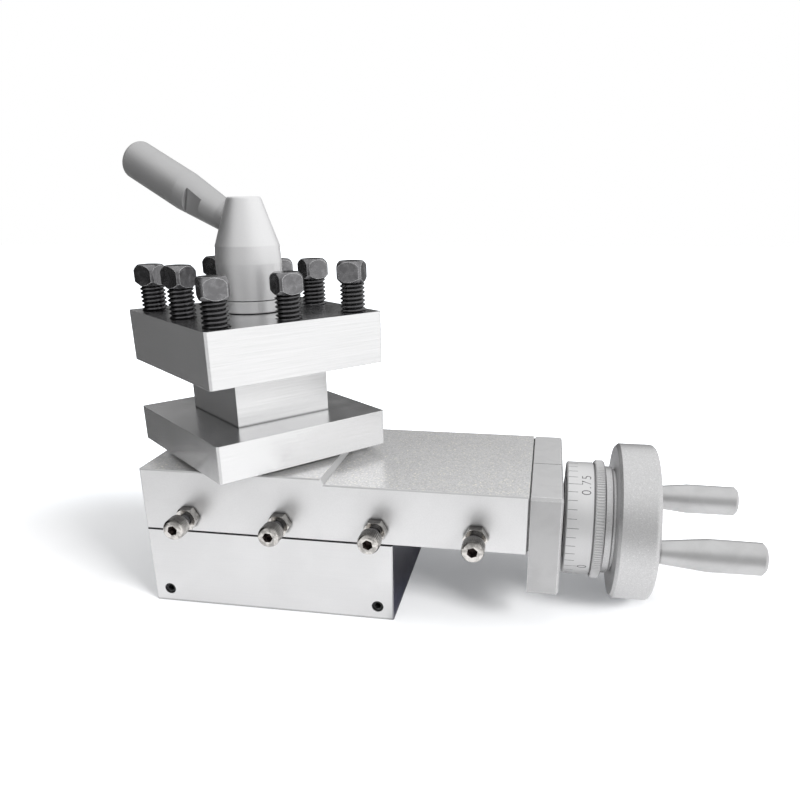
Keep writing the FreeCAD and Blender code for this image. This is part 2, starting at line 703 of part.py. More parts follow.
def handwheel():
    body = new_body("handwheel", z="screw_axis_height")
    ring_end = "ring_start + friction_ring_width"
    ring_floor = "hub_radius - friction_ring_thickness"
    wheel = turned(body, [
        ("hub_start", "wheel_seat_radius"), ("hub_start", "hub_radius"), ("ring_start", "hub_radius"),
        ("ring_start", ring_floor), (ring_end, ring_floor), (ring_end, "hub_radius"),
        ("neck_start", "hub_radius"), ("neck_start", "neck_radius - neck_bevel"),
        ("neck_start + neck_bevel", "neck_radius"),
        ("wheel_start - neck_groove - neck_bevel", "neck_radius"),
        ("wheel_start - neck_groove", "neck_radius - neck_bevel"),
        ("wheel_start - neck_groove", "neck_radius - neck_groove_depth"),
        ("wheel_start", "neck_radius - neck_groove_depth"), ("wheel_start", "wheel_radius"),
        ("wheel_end", "wheel_radius"), ("wheel_end", "wheel_recess_radius"),
        ("recess_floor", "wheel_recess_radius"), ("recess_floor", "wheel_seat_radius")])
    rim = dress(body, "Chamfer", wheel, "wheel_bevel", circle_at("wheel_start", "wheel_radius"))
    dress(body, "Fillet", rim, "wheel_round", circle_at("wheel_end", "wheel_radius"))
    prism(body, "Pocket", "YZ", "key_start", "recess_floor + 1", lambda sketch: rectangle(
        sketch, "-key_width / 2", "key_width / 2", "0", "wheel_seat_radius + key_width / 2"))
    prism(body, "Pocket", "YZ", "wheel_end - grip_spigot_length", "wheel_end + 1", lambda sketch: [
        circle(sketch, y, z, "grip_spigot_radius") for y, z in grip_spots()])


def grip_spots():
    """Where the front and rear grips stand on the wheel's face, from the screw's axis."""
    y = "grip_circle_radius * cos(grip_start_angle * 1deg)"
    z = "grip_circle_radius * sin(grip_start_angle * 1deg)"
    return [("-" + y, "-" + z), (y, z)]


def wheel_nut():
    nut = hex_nut("wheel_nut", "wheel_nut_flats", "wheel_nut_height", "screw_end_radius", "edge_bevel * 2",
                  "recess_floor", "0", "screw_axis_height", FreeCAD.Vector(1, 0, 0))
    NODES.append(nut)


def friction_ring():
    """The split spring ring that holds the dial where it is set."""
    body = new_body("dial_spring", z="screw_axis_height")
    ring_end = "ring_start + friction_ring_width"
    inner = "hub_radius - friction_ring_thickness"
    turned(body, [("ring_start", inner), ("ring_start", "hub_radius"), (ring_end, "hub_radius"),
                  (ring_end, inner)])
    prism(body, "Pocket", "YZ", "ring_start - 1", ring_end + " + 1", lambda sketch: rectangle(
        sketch, "-friction_ring_slit / 2", "friction_ring_slit / 2", "0", "hub_radius + 1"))


def grips():
    for label, (y, z) in zip(("grip_front", "grip_rear"), grip_spots()):
        body = new_body(label, "wheel_end", y, "screw_axis_height + " + z)
        turned(body, [("-grip_spigot_length", "0"), ("-grip_spigot_length", "grip_spigot_radius"),
                      ("0", "grip_spigot_radius"), ("0", "grip_root_radius"),
                      ("grip_belly_place", "grip_belly_radius"),
                      ("grip_length - grip_end_bevel", "grip_end_radius"),
                      ("grip_length", "grip_end_radius - grip_end_bevel"), ("grip_length", "0")])


def dial():
    body = new_body("dial", z="screw_axis_height")
    bore = "hub_radius + running_clearance"
    floor = "dial_radius - dial_groove_depth"
    turned(body, [("dial_start", bore), ("dial_start", "dial_radius - dial_bevel"),
                  ("dial_start + dial_bevel", "dial_radius"), ("knurl_start - dial_groove_width", "dial_radius"),
                  ("knurl_start - dial_groove_width", floor), ("knurl_start", floor),
                  ("knurl_start", "knurl_radius - knurl_bevel"), ("knurl_start + knurl_bevel", "knurl_radius"),
                  ("dial_end - knurl_bevel", "knurl_radius"), ("dial_end", "knurl_radius - knurl_bevel"),
                  ("dial_end", bore)])


# Turret
def turret_block():
    body = new_body("turret_block", x="post_axis")
    body.Placement.Rotation = FreeCAD.Rotation(FreeCAD.Vector(0, 0, 1), number("post_turn"))
    bind(body, Placement__Rotation__Angle="post_turn")
    prism(body, "Pad", "XY", "seat_top", "slot_floor", lambda sketch: square(sketch, "post_side"))
    prism(body, "Pad", "XY", "slot_roof", "post_top", lambda sketch: square(sketch, "post_side"))
    blocks = prism(body, "Pad", "XY", "slot_floor", "slot_roof", lambda sketch: square(sketch, "post_neck_side"))
    dress(body, "Chamfer", blocks, "post_bevel", lambda box: upright(box) and near(
        abs(box.XMin), number("post_side / 2")))
    prism(body, "Pocket", "XY", "seat_top - 1", "post_top + 1",
          lambda sketch: circle(sketch, "0", "0", "stud_radius + running_clearance"))
    prism(body, "Pocket", "XY", "slot_roof - 1", "post_top + 1", lambda sketch: [
        circle(sketch, u, v, "tool_screw_radius + running_clearance") for u, v in tool_screw_spots()])


def tool_screw_spots():
    """The eight screws stand on a three by three grid without its middle, anticlockwise from a corner."""
    steps = [(-1, -1), (0, -1), (1, -1), (1, 0), (1, 1), (0, 1), (-1, 1), (-1, 0)]
    return [("%d * tool_screw_offset" % u, "%d * tool_screw_offset" % v) for u, v in steps]


def post_washer():
    body = new_body("post_washer", x="post_axis")
    rim = "post_washer_radius"
    turned(body, [("stud_radius + running_clearance", "post_top"),
                  (rim + " - post_washer_foot_bevel", "post_top"), (rim, "post_top + post_washer_foot_bevel"),
                  (rim, "lock_foot - post_washer_bevel"), (rim + " - post_washer_bevel", "lock_foot"),
                  ("stud_radius + running_clearance", "lock_foot")], "V")


def tool_screws():
    for i, ((u, v), letter) in enumerate(zip(tool_screw_spots(), "abcdefgh"), 1):
        across = "post_axis + %s * cos(post_turn * 1deg) - %s * sin(post_turn * 1deg)" % (u, v)
        back = "%s * sin(post_turn * 1deg) + %s * cos(post_turn * 1deg)" % (u, v)
        body = new_body("tool_screw_%d" % i, across, back, "post_top + tool_stand_" + letter)
        body.Placement.Rotation = FreeCAD.Rotation(FreeCAD.Vector(0, 0, 1), number("post_turn"))
        bind(body, Placement__Rotation__Angle="post_turn + tool_turn_" + letter)
        # the head is turned with tapers, then milled square
        blank = "tool_head_blank_radius"
        turned(body, [("0", "-tool_screw_length"), ("tool_screw_radius - tool_screw_tip_bevel", "-tool_screw_length"),
                      ("tool_screw_radius", "-tool_screw_length + tool_screw_tip_bevel"),
                      ("tool_screw_radius", "-tool_screw_run_out"), ("tool_head_neck_radius", "0"),
                      (blank, "tool_head_foot_taper"), (blank, "tool_head_height - tool_head_top_taper"),
                      ("tool_head_top_radius", "tool_head_height"), ("0", "tool_head_height")], "V")
        sketch = new_sketch(body, "XY", "tool_head_height / 2")
        circle(sketch, "0", "0", blank + " * 2")
        square(sketch, "tool_head_flats")
        flats = body.newObject("PartDesign::Pocket", "head_flats")
        flats.Profile = sketch
        flats.SideType = "Symmetric"
        bind(flats, Length="tool_head_height")
        doc.recompute()


# Lock nut and lever
def lever_cylinder(label, radius, start, end):
    """A cylinder along the lever's axis, measured from where it crosses the nut's axis."""
    tool = doc.addObject("Part::Cylinder", label)
    bind(tool, Radius=radius, Height="(%s) - (%s)" % (end, start))
    aim_along_lever(tool, start)
    return tool


def aim_along_lever(thing, start):
    """Turns a piece's own Z axis to the lever's axis, and slides it along by start."""
    level = "%s * cos(lever_rise * 1deg)" % start
    aim = FreeCAD.Rotation(number("lever_azimuth"), 90 - number("lever_rise"), 0)
    thing.Placement.Rotation = aim.multiply(FreeCAD.Rotation(FreeCAD.Vector(0, 0, 1), number("lever_turn")))
    bind(thing, Placement__Base__x="post_axis + %s * cos(lever_azimuth * 1deg)" % level,
         Placement__Base__y="%s * sin(lever_azimuth * 1deg)" % level,
         Placement__Base__z="lever_cross + %s * sin(lever_rise * 1deg)" % start)


def lock_nut():
    body = new_body("lock_nut_blank", x="post_axis", keep=False)
    foot = "lock_foot"
    cone = turned(body, [
        ("stud_radius + running_clearance", "lock_start"), ("lock_foot_radius", "lock_start"),
        ("lock_belly_radius", foot + " + lock_belly_height"),
        ("lock_shoulder_radius", foot + " + lock_shoulder_height"),
        ("lock_top_radius", foot + " + lock_height"), ("0", foot + " + lock_height"),
        ("0", "lock_bore_top"), ("stud_radius + running_clearance", "lock_bore_top")], "V")
    dress(body, "Fillet", cone, "lock_top_round", lambda box: near(box.ZMin, number("lock_foot + lock_height")))
    socket = lever_cylinder("lever_socket", "lever_spigot_radius", "lever_spigot_start", "lever_root + 1")
    seat = lever_cylinder("lever_seat", "lever_waist_radius", "lever_root", "lever_taper_start")
    drill = doc.addObject("Part::Fuse", "lever_drill")
    drill.Base = socket
    drill.Tool = seat
    nut = doc.addObject("Part::Cut", "lock_nut_cut")
    nut.Label = "lock_nut"
    nut.Base = body
    nut.Tool = drill
    NODES.append(nut)


def lock_lever():
    body = new_body("lock_lever")
    aim_along_lever(body, "0")
    reach = "lever_reach"
    bar = turned(body, [
        ("0", "lever_spigot_start"), ("lever_spigot_radius", "lever_spigot_start"),
        ("lever_spigot_radius", "lever_root"), ("lever_waist_radius", "lever_root"),
        ("lever_waist_radius", "lever_taper_start"), ("lever_grip_radius", "lever_grip_start"),
        ("lever_grip_radius", reach), ("0", reach)], "V")
    dress(body, "Fillet", bar, "lever_end_round", lambda box: near(
        box.ZMin, number(reach)) and near(box.XMax, number("lever_grip_radius")))
    # two milled flats for a spanner
    for side in ("", "-"):
        low, high = "%slever_flats_across / 2" % side, "%s(lever_grip_radius + 1)" % side
        prism(body, "Pocket", "XY", "lever_flats_start", "lever_flats_end",
              lambda sketch: rectangle(sketch, "-lever_grip_radius - 1", "lever_grip_radius + 1",
                                       *sorted((low, high), key=number)))


def check_and_export():
    doc.recompute()
    bad = [thing.Label for thing in doc.Objects if {"Invalid", "Error"} & set(thing.State)]
    for node in NODES:
        if node.Shape.isNull() or not node.Shape.isValid() or not node.Shape.Solids:
            bad.append(node.Label)
    if bad:
        raise RuntimeError("these did not build: " + ", ".join(bad))
    os.makedirs("parts", exist_ok=True)
    for node in NODES:
        node.Shape.exportStep("parts/%s.step" % node.Label)
    print("%d nodes, %d solids" % (len(NODES), sum(len(node.Shape.Solids) for node in NODES)))


fill_sheets()
base_block()
base_set_screws()
feed_nut()
feed_nut_screws()
top_slide()
gib_strip()
gib_screws()
gib_lock_nuts()
end_plate()
end_plate_screws()
screw_bush()
thrust_washer()
post_stud()
feed_screw()
wheel_key()
handwheel()
wheel_nut()
friction_ring()
grips()
dial()
turret_block()
post_washer()
tool_screws()
lock_nut()
lock_lever()
check_and_export()
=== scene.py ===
"""Looks of a lathe's compound slide with a four-way tool turret: an add-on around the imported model."""

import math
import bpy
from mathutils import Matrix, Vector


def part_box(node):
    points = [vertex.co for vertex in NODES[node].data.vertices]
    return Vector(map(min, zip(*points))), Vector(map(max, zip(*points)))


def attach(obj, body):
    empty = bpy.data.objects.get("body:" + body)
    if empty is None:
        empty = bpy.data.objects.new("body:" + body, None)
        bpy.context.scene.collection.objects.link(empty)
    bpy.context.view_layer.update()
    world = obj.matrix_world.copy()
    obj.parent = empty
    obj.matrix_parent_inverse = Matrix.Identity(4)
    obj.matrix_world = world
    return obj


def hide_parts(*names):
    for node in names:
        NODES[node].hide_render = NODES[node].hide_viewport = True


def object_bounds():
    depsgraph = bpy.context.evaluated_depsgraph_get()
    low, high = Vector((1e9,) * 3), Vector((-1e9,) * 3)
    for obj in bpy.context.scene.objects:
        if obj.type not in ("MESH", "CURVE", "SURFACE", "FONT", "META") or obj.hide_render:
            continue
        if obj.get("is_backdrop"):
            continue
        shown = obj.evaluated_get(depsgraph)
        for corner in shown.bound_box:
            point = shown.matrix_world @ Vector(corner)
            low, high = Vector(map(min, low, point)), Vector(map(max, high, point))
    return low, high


bl_info = {
    "name": "Lathe tool turret",
    "version": (1, 0, 0),
    "blender": (4, 5, 0),
    "location": "3D View > Sidebar > Turret",
    "description": "Threads, dial marks, finishes and a studio for a lathe tool turret",
    "category": "Add Mesh",
}

import bmesh
import bpy
from bpy.props import FloatProperty, FloatVectorProperty, IntProperty, PointerProperty
from mathutils import Matrix, Vector

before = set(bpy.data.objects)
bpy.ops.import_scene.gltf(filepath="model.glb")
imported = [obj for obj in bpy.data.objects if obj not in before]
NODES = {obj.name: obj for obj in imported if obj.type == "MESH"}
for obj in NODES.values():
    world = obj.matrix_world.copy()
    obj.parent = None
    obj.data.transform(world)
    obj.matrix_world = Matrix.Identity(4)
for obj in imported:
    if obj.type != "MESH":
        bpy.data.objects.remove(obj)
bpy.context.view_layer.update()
MM = 0.001


# Places read from the frame
def middle(node):
    low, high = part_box(node)
    return (low + high) / 2


def low_corner(node):
    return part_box(node)[0]


def high_corner(node):
    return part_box(node)[1]


SCREW_AXIS = middle("screw_bush")
# How far the turret stands turned on its post, in degrees
POST_TURN = 49.4
TOOL_SCREWS = ["tool_screw_%d" % number for number in range(1, 9)]
# How far each tool screw's head was left turned from the turret's sides, in degrees
HEAD_TURNS = [-12, -3, 39, -3, -4, 24, 28, 21]
# The gib screws, and how far the first was left turned and each next one further, in degrees
GIB_SCREW_COUNT = 4
GIB_TURN = 17
GIB_TURN_STEP = 41
# The slit between the slide and the base's ledge, and how far the painted shadow line along it reaches below
# and above that ledge
SEAM_GAP = 0.4 * MM
SEAM_SHADOW_BELOW, SEAM_SHADOW_ABOVE = 0.3 * MM, 0.1 * MM
# The colour of the painted glints on bright facets in the slide's coarse skin
GLINT_COLOUR = (1.0, 0.97, 0.86)


# Sizes and colours a user would change
class ToolScrewSettings(bpy.types.PropertyGroup):
    thread_radius: FloatProperty(name="Thread radius", description="Outer radius of the tool screws' thread",
                                 default=4.2 * MM, unit="LENGTH")
    pitch: FloatProperty(name="Pitch", description="Rise of the tool screws' thread in one turn",
                         default=1.36 * MM, unit="LENGTH")
    length: FloatProperty(name="Length", description="Threaded length under the head", default=24 * MM,
                          unit="LENGTH")
    head_flats: FloatProperty(name="Head flats", description="Width of the square head", default=8.4 * MM,
                              unit="LENGTH")
    head_blank: FloatProperty(name="Head blank", default=5.45 * MM, unit="LENGTH",
                              description="Radius of the turned blank that the square is cut from")
    head_height: FloatProperty(name="Head height", description="Height of the square head", default=7.1 * MM,
                               unit="LENGTH")
    oxide: FloatVectorProperty(name="Oxide", description="Colour of the black oxide",
                               default=(0.225, 0.223, 0.23), subtype="COLOR", min=0, max=1)
    worn: FloatVectorProperty(name="Worn steel", default=(0.80, 0.80, 0.81), subtype="COLOR", min=0, max=1,
                              description="Colour of the edges where the oxide has rubbed off")


class GibScrewSettings(bpy.types.PropertyGroup):
    thread_radius: FloatProperty(name="Thread radius", description="Outer radius of the gib screws' thread",
                                 default=2 * MM, unit="LENGTH")
    pitch: FloatProperty(name="Pitch", description="Rise of the gib screws' thread in one turn",
                         default=0.7 * MM, unit="LENGTH")
    head_radius: FloatProperty(name="Head radius", description="Radius of the socket head", default=3.6 * MM,
                               unit="LENGTH")
    head_length: FloatProperty(name="Head length", description="Length of the socket head", default=5.2 * MM,
                               unit="LENGTH")
    socket: FloatProperty(name="Socket", description="Width of the hexagon socket across its flats",
                          default=3 * MM, unit="LENGTH")


class DialSettings(bpy.types.PropertyGroup):
    divisions: IntProperty(name="Divisions", description="Marks round the dial", default=40, min=4)
    ribs: IntProperty(name="Ribs", description="Ribs round the dial's grip rim", default=132, min=20)
    label_turn: FloatProperty(name="Zero", description="Where the zero mark stands, above the front",
                              default=math.radians(-32), subtype="ANGLE")
    label_height: FloatProperty(name="Figure height", description="Height of the dial's figures",
                                default=3.15 * MM, unit="LENGTH")


class FinishSettings(bpy.types.PropertyGroup):
    aluminium: FloatVectorProperty(name="Aluminium", description="Colour of the machined aluminium",
                                   default=(0.80, 0.80, 0.805), subtype="COLOR", min=0, max=1)
    steel: FloatVectorProperty(name="Steel", description="Colour of the plated and polished steel",
                               default=(0.62, 0.60, 0.575), subtype="COLOR", min=0, max=1)
    bronze: FloatVectorProperty(name="Bronze", description="Colour of the bush and the feed nut",
                                default=(0.58, 0.38, 0.17), subtype="COLOR", min=0, max=1)


class StudioSettings(bpy.types.PropertyGroup):
    surround: FloatProperty(name="Surround", description="Strength of the soft light from all round",
                            default=0.56, min=0)
    mirrored: FloatProperty(name="Mirrored white", description="How bright the white room is in the metal",
                            default=1.02, min=0)
    softbox: FloatProperty(name="Softbox", description="Power of the main softbox in watts",
                           default=24.0, min=0)


# Meshes
def new_object(name, data):
    thing = bpy.data.objects.new(name, data)
    bpy.context.scene.collection.objects.link(thing)
    return thing


def to_mesh(build, name):
    bmesh.ops.recalc_face_normals(build, faces=build.faces[:])
    mesh = bpy.data.meshes.new(name)
    build.to_mesh(mesh)
    build.free()
    return mesh


def smooth(mesh, angle=35):
    """Smooth shading with sharp edges kept where faces meet at more than an angle in degrees."""
    mesh.polygons.foreach_set("use_smooth", [True] * len(mesh.polygons))
    mesh.set_sharp_from_angle(angle=math.radians(angle))
    mesh.update()


def lathe(build, profile, steps):
    """Turns (radius, height) points about Z into faces. A point of radius 0 closes the end."""
    rings = []
    for radius, height in profile:
        if radius < 1e-9:
            rings.append([build.verts.new((0, 0, height))])
        else:
            rings.append([build.verts.new((radius * math.cos(k * math.tau / steps),
                                           radius * math.sin(k * math.tau / steps), height))
                          for k in range(steps)])
    for below, above in zip(rings, rings[1:]):
        for k in range(steps):
            corners = [below[k % len(below)], below[(k + 1) % len(below)],
                       above[(k + 1) % len(above)], above[k % len(above)]]
            build.faces.new(list(dict.fromkeys(corners)))
    return rings


def groove(rings, radius, depth):
    """Sinks two of every four points of a lathe's rings, which leaves ribs."""
    for ring in rings:
        for k, vert in enumerate(ring):
            if k % 4 in (0, 1):
                vert.co.x *= 1 - depth / radius
                vert.co.y *= 1 - depth / radius


def close_band(build, lower, upper):
    """Faces between two rings with the same number of points."""
    for k in range(len(lower)):
        after = (k + 1) % len(lower)
        build.faces.new((lower[k], lower[after], upper[after], upper[k]))


def prism(build, bottom, top):
    """A straight solid between two matching polygons of places."""
    bottom, top = ([build.verts.new(place) for place in places] for places in (bottom, top))
    build.faces.new(list(reversed(bottom)))
    build.faces.new(top)
    close_band(build, bottom, top)


def regular_prism(name, sides, flats, turn, low, high):
    """A prism over a regular polygon of a given width across its flats."""
    reach = flats / 2 / math.cos(math.pi / sides)
    angles = [turn + k * math.tau / sides for k in range(sides)]
    build = bmesh.new()
    prism(build, *([(reach * math.cos(angle), reach * math.sin(angle), level) for angle in angles]
                   for level in (low, high)))
    return to_mesh(build, name)


def thread(build, radius, pitch, bottom, top):
    """A closed threaded rod along Z from bottom to top."""
    steps, depth, rounding = 40, 0.6 * pitch, 0.03 * pitch
    root, shoulder = radius - depth, radius - rounding
    shape = [(0.0, root), (0.40, shoulder), (0.5, radius), (0.60, shoulder)]
    turns = math.ceil((top - bottom) / pitch) + 1
    rows = []
    for k in range(turns * steps + 1):
        angle = k * math.tau / steps
        start = bottom + (k / steps - 1) * pitch
        row = []
        for share, reach in shape:
            level = start + share * pitch
            if level < bottom or level > top:
                reach = root
            level = min(max(level, bottom), top)
            row.append(build.verts.new((reach * math.cos(angle), reach * math.sin(angle), level)))
        rows.append(row)
    for k in range(len(rows) - 1):
        for j in range(len(shape) - 1):
            build.faces.new((rows[k][j], rows[k + 1][j], rows[k + 1][j + 1], rows[k][j + 1]))
        if k + steps + 1 < len(rows):
            build.faces.new((rows[k][-1], rows[k + 1][-1], rows[k + 1 + steps][0], rows[k + steps][0]))
    made = [vert for row in rows for vert in row]
    bmesh.ops.remove_doubles(build, verts=made, dist=1e-6)
    bmesh.ops.dissolve_degenerate(build, dist=1e-7, edges=build.edges[:])
    open_edges = [edge for edge in build.edges if edge.is_boundary]
    bmesh.ops.holes_fill(build, edges=open_edges, sides=0)


def threaded_rod(name, settings, length, overlap, slot):
    """A screw's rod, with the finish of one material slot. overlap is how far it reaches into the head."""
    build = bmesh.new()
    thread(build, settings.thread_radius, settings.pitch, -length, overlap)
    rod = to_mesh(build, name)
    smooth(rod, angle=50)
    rod.polygons.foreach_set("material_index", [slot] * len(rod.polygons))
    return rod


def evaluated_mesh(thing):
    """The mesh that an object's modifiers or curve make. The object goes."""
    bpy.context.view_layer.update()
    result = bpy.data.meshes.new_from_object(thing.evaluated_get(bpy.context.evaluated_depsgraph_get()))
    bpy.data.objects.remove(thing)
    return result


def combine(mesh, other, operation):
    """The mesh cut by another or crossed with it, as a new mesh."""
    first, second = new_object("first", mesh), new_object("second", other)
    change = first.modifiers.new("combine", "BOOLEAN")
    change.operation = operation
    change.solver = "EXACT"
    change.object = second
    result = evaluated_mesh(first)
    bpy.data.objects.remove(second)
    return result


def new_piece(name, mesh, body, maker):
    """An object of the part: on its body, with its finish."""
    piece = new_object(name, mesh)
    mesh.materials.append(material(maker))
    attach(piece, body)
    return piece


def new_screw(name, parts, matrix, body, slot, *makers):
    """One piece out of a head and a rod, with a finish for each material slot."""
    build = bmesh.new()
    for mesh in parts:
        build.from_mesh(mesh)
    build.transform(matrix)
    mesh = bpy.data.meshes.new(name)
    build.to_mesh(mesh)
    build.free()
    piece = new_piece(name, mesh, body, makers[0])
    for maker in makers[1:]:
        mesh.materials.append(material(maker))
    return piece


def soften(piece, width, angle):
    """Rounds the piece's edges that turn more than an angle in degrees."""
    bevel = piece.modifiers.new("Edge break", "BEVEL")
    bevel.width = width
    bevel.segments = 2
    bevel.limit_method = "ANGLE"
    bevel.angle_limit = math.radians(angle)
    bevel.harden_normals = True
    bevel.miter_outer = "MITER_ARC"
    bevel.use_clamp_overlap = True


# Shader groups
def group_tree(name, inputs, outputs):
    """A node group with (name, default) inputs and named outputs, and the sockets of both sides."""
    tree = bpy.data.node_groups.new(name, "ShaderNodeTree")
    for label, value in inputs:
        socket = tree.interface.new_socket(name=label, in_out="INPUT", socket_type="NodeSocketFloat")
        socket.default_value = value
    for label in outputs:
        kind = "NodeSocketVector" if label == "Normal" else "NodeSocketFloat"
        tree.interface.new_socket(name=label, in_out="OUTPUT", socket_type=kind)
    return tree, tree.nodes.new("NodeGroupInput").outputs, tree.nodes.new("NodeGroupOutput").inputs


def put_out(tree, out, **sockets):
    """Links sockets to the group's outputs of the same names."""
    for label, socket in sockets.items():
        tree.links.new(socket, out[label])


def add(tree, kind, links=(), **values):
    """A shader node with its inputs set by name or linked from sockets."""
    node = tree.nodes.new("ShaderNode" + kind)
    for name, value in values.items():
        setattr(node, name, value)
    for name, value in dict(links).items():
        if isinstance(value, bpy.types.NodeSocket):
            tree.links.new(value, node.inputs[name])
        else:
            node.inputs[name].default_value = value
    return node


def object_place(tree):
    return add(tree, "TexCoord").outputs["Object"]


def maths(tree, operation, first, second=0.0, clamp=False):
    return add(tree, "Math", {0: first, 1: second}, operation=operation, use_clamp=clamp).outputs[0]


def ramp(tree, value, start, end, low=0.0, high=1.0, kind="LINEAR"):
    """Goes from low to high as a value goes from start to end."""
    limits = {"Value": value, "From Min": start, "From Max": end, "To Min": low, "To Max": high}
    return add(tree, "MapRange", limits, interpolation_type=kind).outputs[0]


def blasted_grain():
    """Fine pits of a blasted or cast skin, with a mask of a few bright facets for painted glints."""
    tree, given, out = group_tree("Blasted grain", [("Grain size", 0.35 * MM)],
                                  ["Height", "Tone", "Speckle", "Spark"])
    place = object_place(tree)
    scale = maths(tree, "DIVIDE", 1.0, given["Grain size"])
    noise = add(tree, "TexNoise", {"Vector": place, "Scale": scale, "Detail": 3.0, "Roughness": 0.6})
    cells = add(tree, "TexVoronoi", {"Vector": place, "Scale": scale})
    shade = add(tree, "SeparateColor", {"Color": cells.outputs["Color"]})
    pits = noise.outputs["Fac"]
    put_out(tree, out, Height=pits, Tone=pits, Speckle=shade.outputs[1],
            Spark=ramp(tree, shade.outputs[0], 0.90, 0.98))


def cutter_streaks():
    """Long fine lines that a cutter or a grinding wheel leaves. Turn is the piece's about Z."""
    tree, given, out = group_tree(
        "Cutter streaks", [("Turn", 0.0), ("Line width", 0.25 * MM), ("Line length", 12 * MM),
                           ("Cross length", 0.25 * MM)], ["Height", "Tone"])
    turned = add(tree, "VectorRotate", {"Vector": object_place(tree), "Angle": given["Turn"]},
                 rotation_type="Z_AXIS")
    parts = add(tree, "SeparateXYZ", {"Vector": turned.outputs[0]}).outputs
    stretched = add(tree, "CombineXYZ", {
        axis: maths(tree, "DIVIDE", parts[axis], given[size])
        for axis, size in (("X", "Line length"), ("Y", "Cross length"), ("Z", "Line width"))})
    noise = add(tree, "TexNoise", {"Vector": stretched.outputs[0], "Scale": 1.0, "Detail": 4.0,
                                   "Roughness": 0.65})
    lines = noise.outputs["Fac"]
    put_out(tree, out, Height=lines, Tone=lines)


def edge_wear():
    """A mask that is 1 on convex edges, with a ragged border."""
    tree, given, out = group_tree("Edge wear", [("Width", 0.3 * MM), ("Amount", 6.0)], ["Mask"])
    surface = add(tree, "NewGeometry")
    rounded = add(tree, "Bevel", {"Radius": given["Width"]}, samples=4)
    match = add(tree, "VectorMath", {0: rounded.outputs[0], 1: surface.outputs["Normal"]},
                operation="DOT_PRODUCT")
    away = maths(tree, "SUBTRACT", 1.0, match.outputs["Value"])
    patches_per_metre = 900.0
    noise = add(tree, "TexNoise", {"Vector": object_place(tree), "Scale": patches_per_metre, "Detail": 4.0})
    ragged = maths(tree, "MULTIPLY", away, noise.outputs["Fac"])
    put_out(tree, out, Mask=maths(tree, "MULTIPLY", ragged, given["Amount"], clamp=True))


def rounded_edges():
    """A normal that turns softly over each edge, as a broken edge does."""
    tree, given, out = group_tree("Rounded edges", [("Radius", 0.3 * MM)], ["Normal"])
    rounded = add(tree, "Bevel", {"Radius": given["Radius"]}, samples=6)
    put_out(tree, out, Normal=rounded.outputs[0])


def level_faces():
    """Masks that are 1 on faces that look straight up, straight down, level to a side, or halfway up."""
    tree, given, out = group_tree("Level faces", [("Start", 0.8)], ["Up", "Down", "Side", "Leaning"])
    surface = add(tree, "NewGeometry")
    rise = add(tree, "SeparateXYZ", {"Vector": surface.outputs["Normal"]}).outputs["Z"]
    full = 0.98
    up, down = (ramp(tree, maths(tree, "MULTIPLY", rise, way), given["Start"], full) for way in (1.0, -1.0))
    side = ramp(tree, maths(tree, "ABSOLUTE", rise), 0.3, 0.1)
    leaning = maths(tree, "MULTIPLY", ramp(tree, rise, 0.3, 0.5), ramp(tree, rise, 0.95, 0.85))
    put_out(tree, out, Up=up, Down=down, Side=side, Leaning=leaning)


def crevice_shade_mask():
    """A mask for painted shade: 1 deep in seams, grooves and inner corners, from ambient occlusion."""
    tree, given, out = group_tree("Crevice shade", [("Reach", 1.2 * MM)], ["Mask"])
    # Ambient occlusion: painted shade in the hollows
    nearby = add(tree, "AmbientOcclusion", {"Distance": given["Reach"]}, samples=8)
    put_out(tree, out, Mask=ramp(tree, nearby.outputs["AO"], 0.88, 0.4))


def handling_marks():
    """Broad faint smudges from handling and old oil."""
    tree, given, out = group_tree("Handling marks", [("Size", 14 * MM)], ["Mask"])
    noise = add(tree, "TexNoise", {
        "Vector": object_place(tree), "Scale": maths(tree, "DIVIDE", 1.0, given["Size"]), "Detail": 5.0,
        "Roughness": 0.55, "Distortion": 0.4})
    put_out(tree, out, Mask=ramp(tree, noise.outputs["Fac"], 0.35, 0.7))


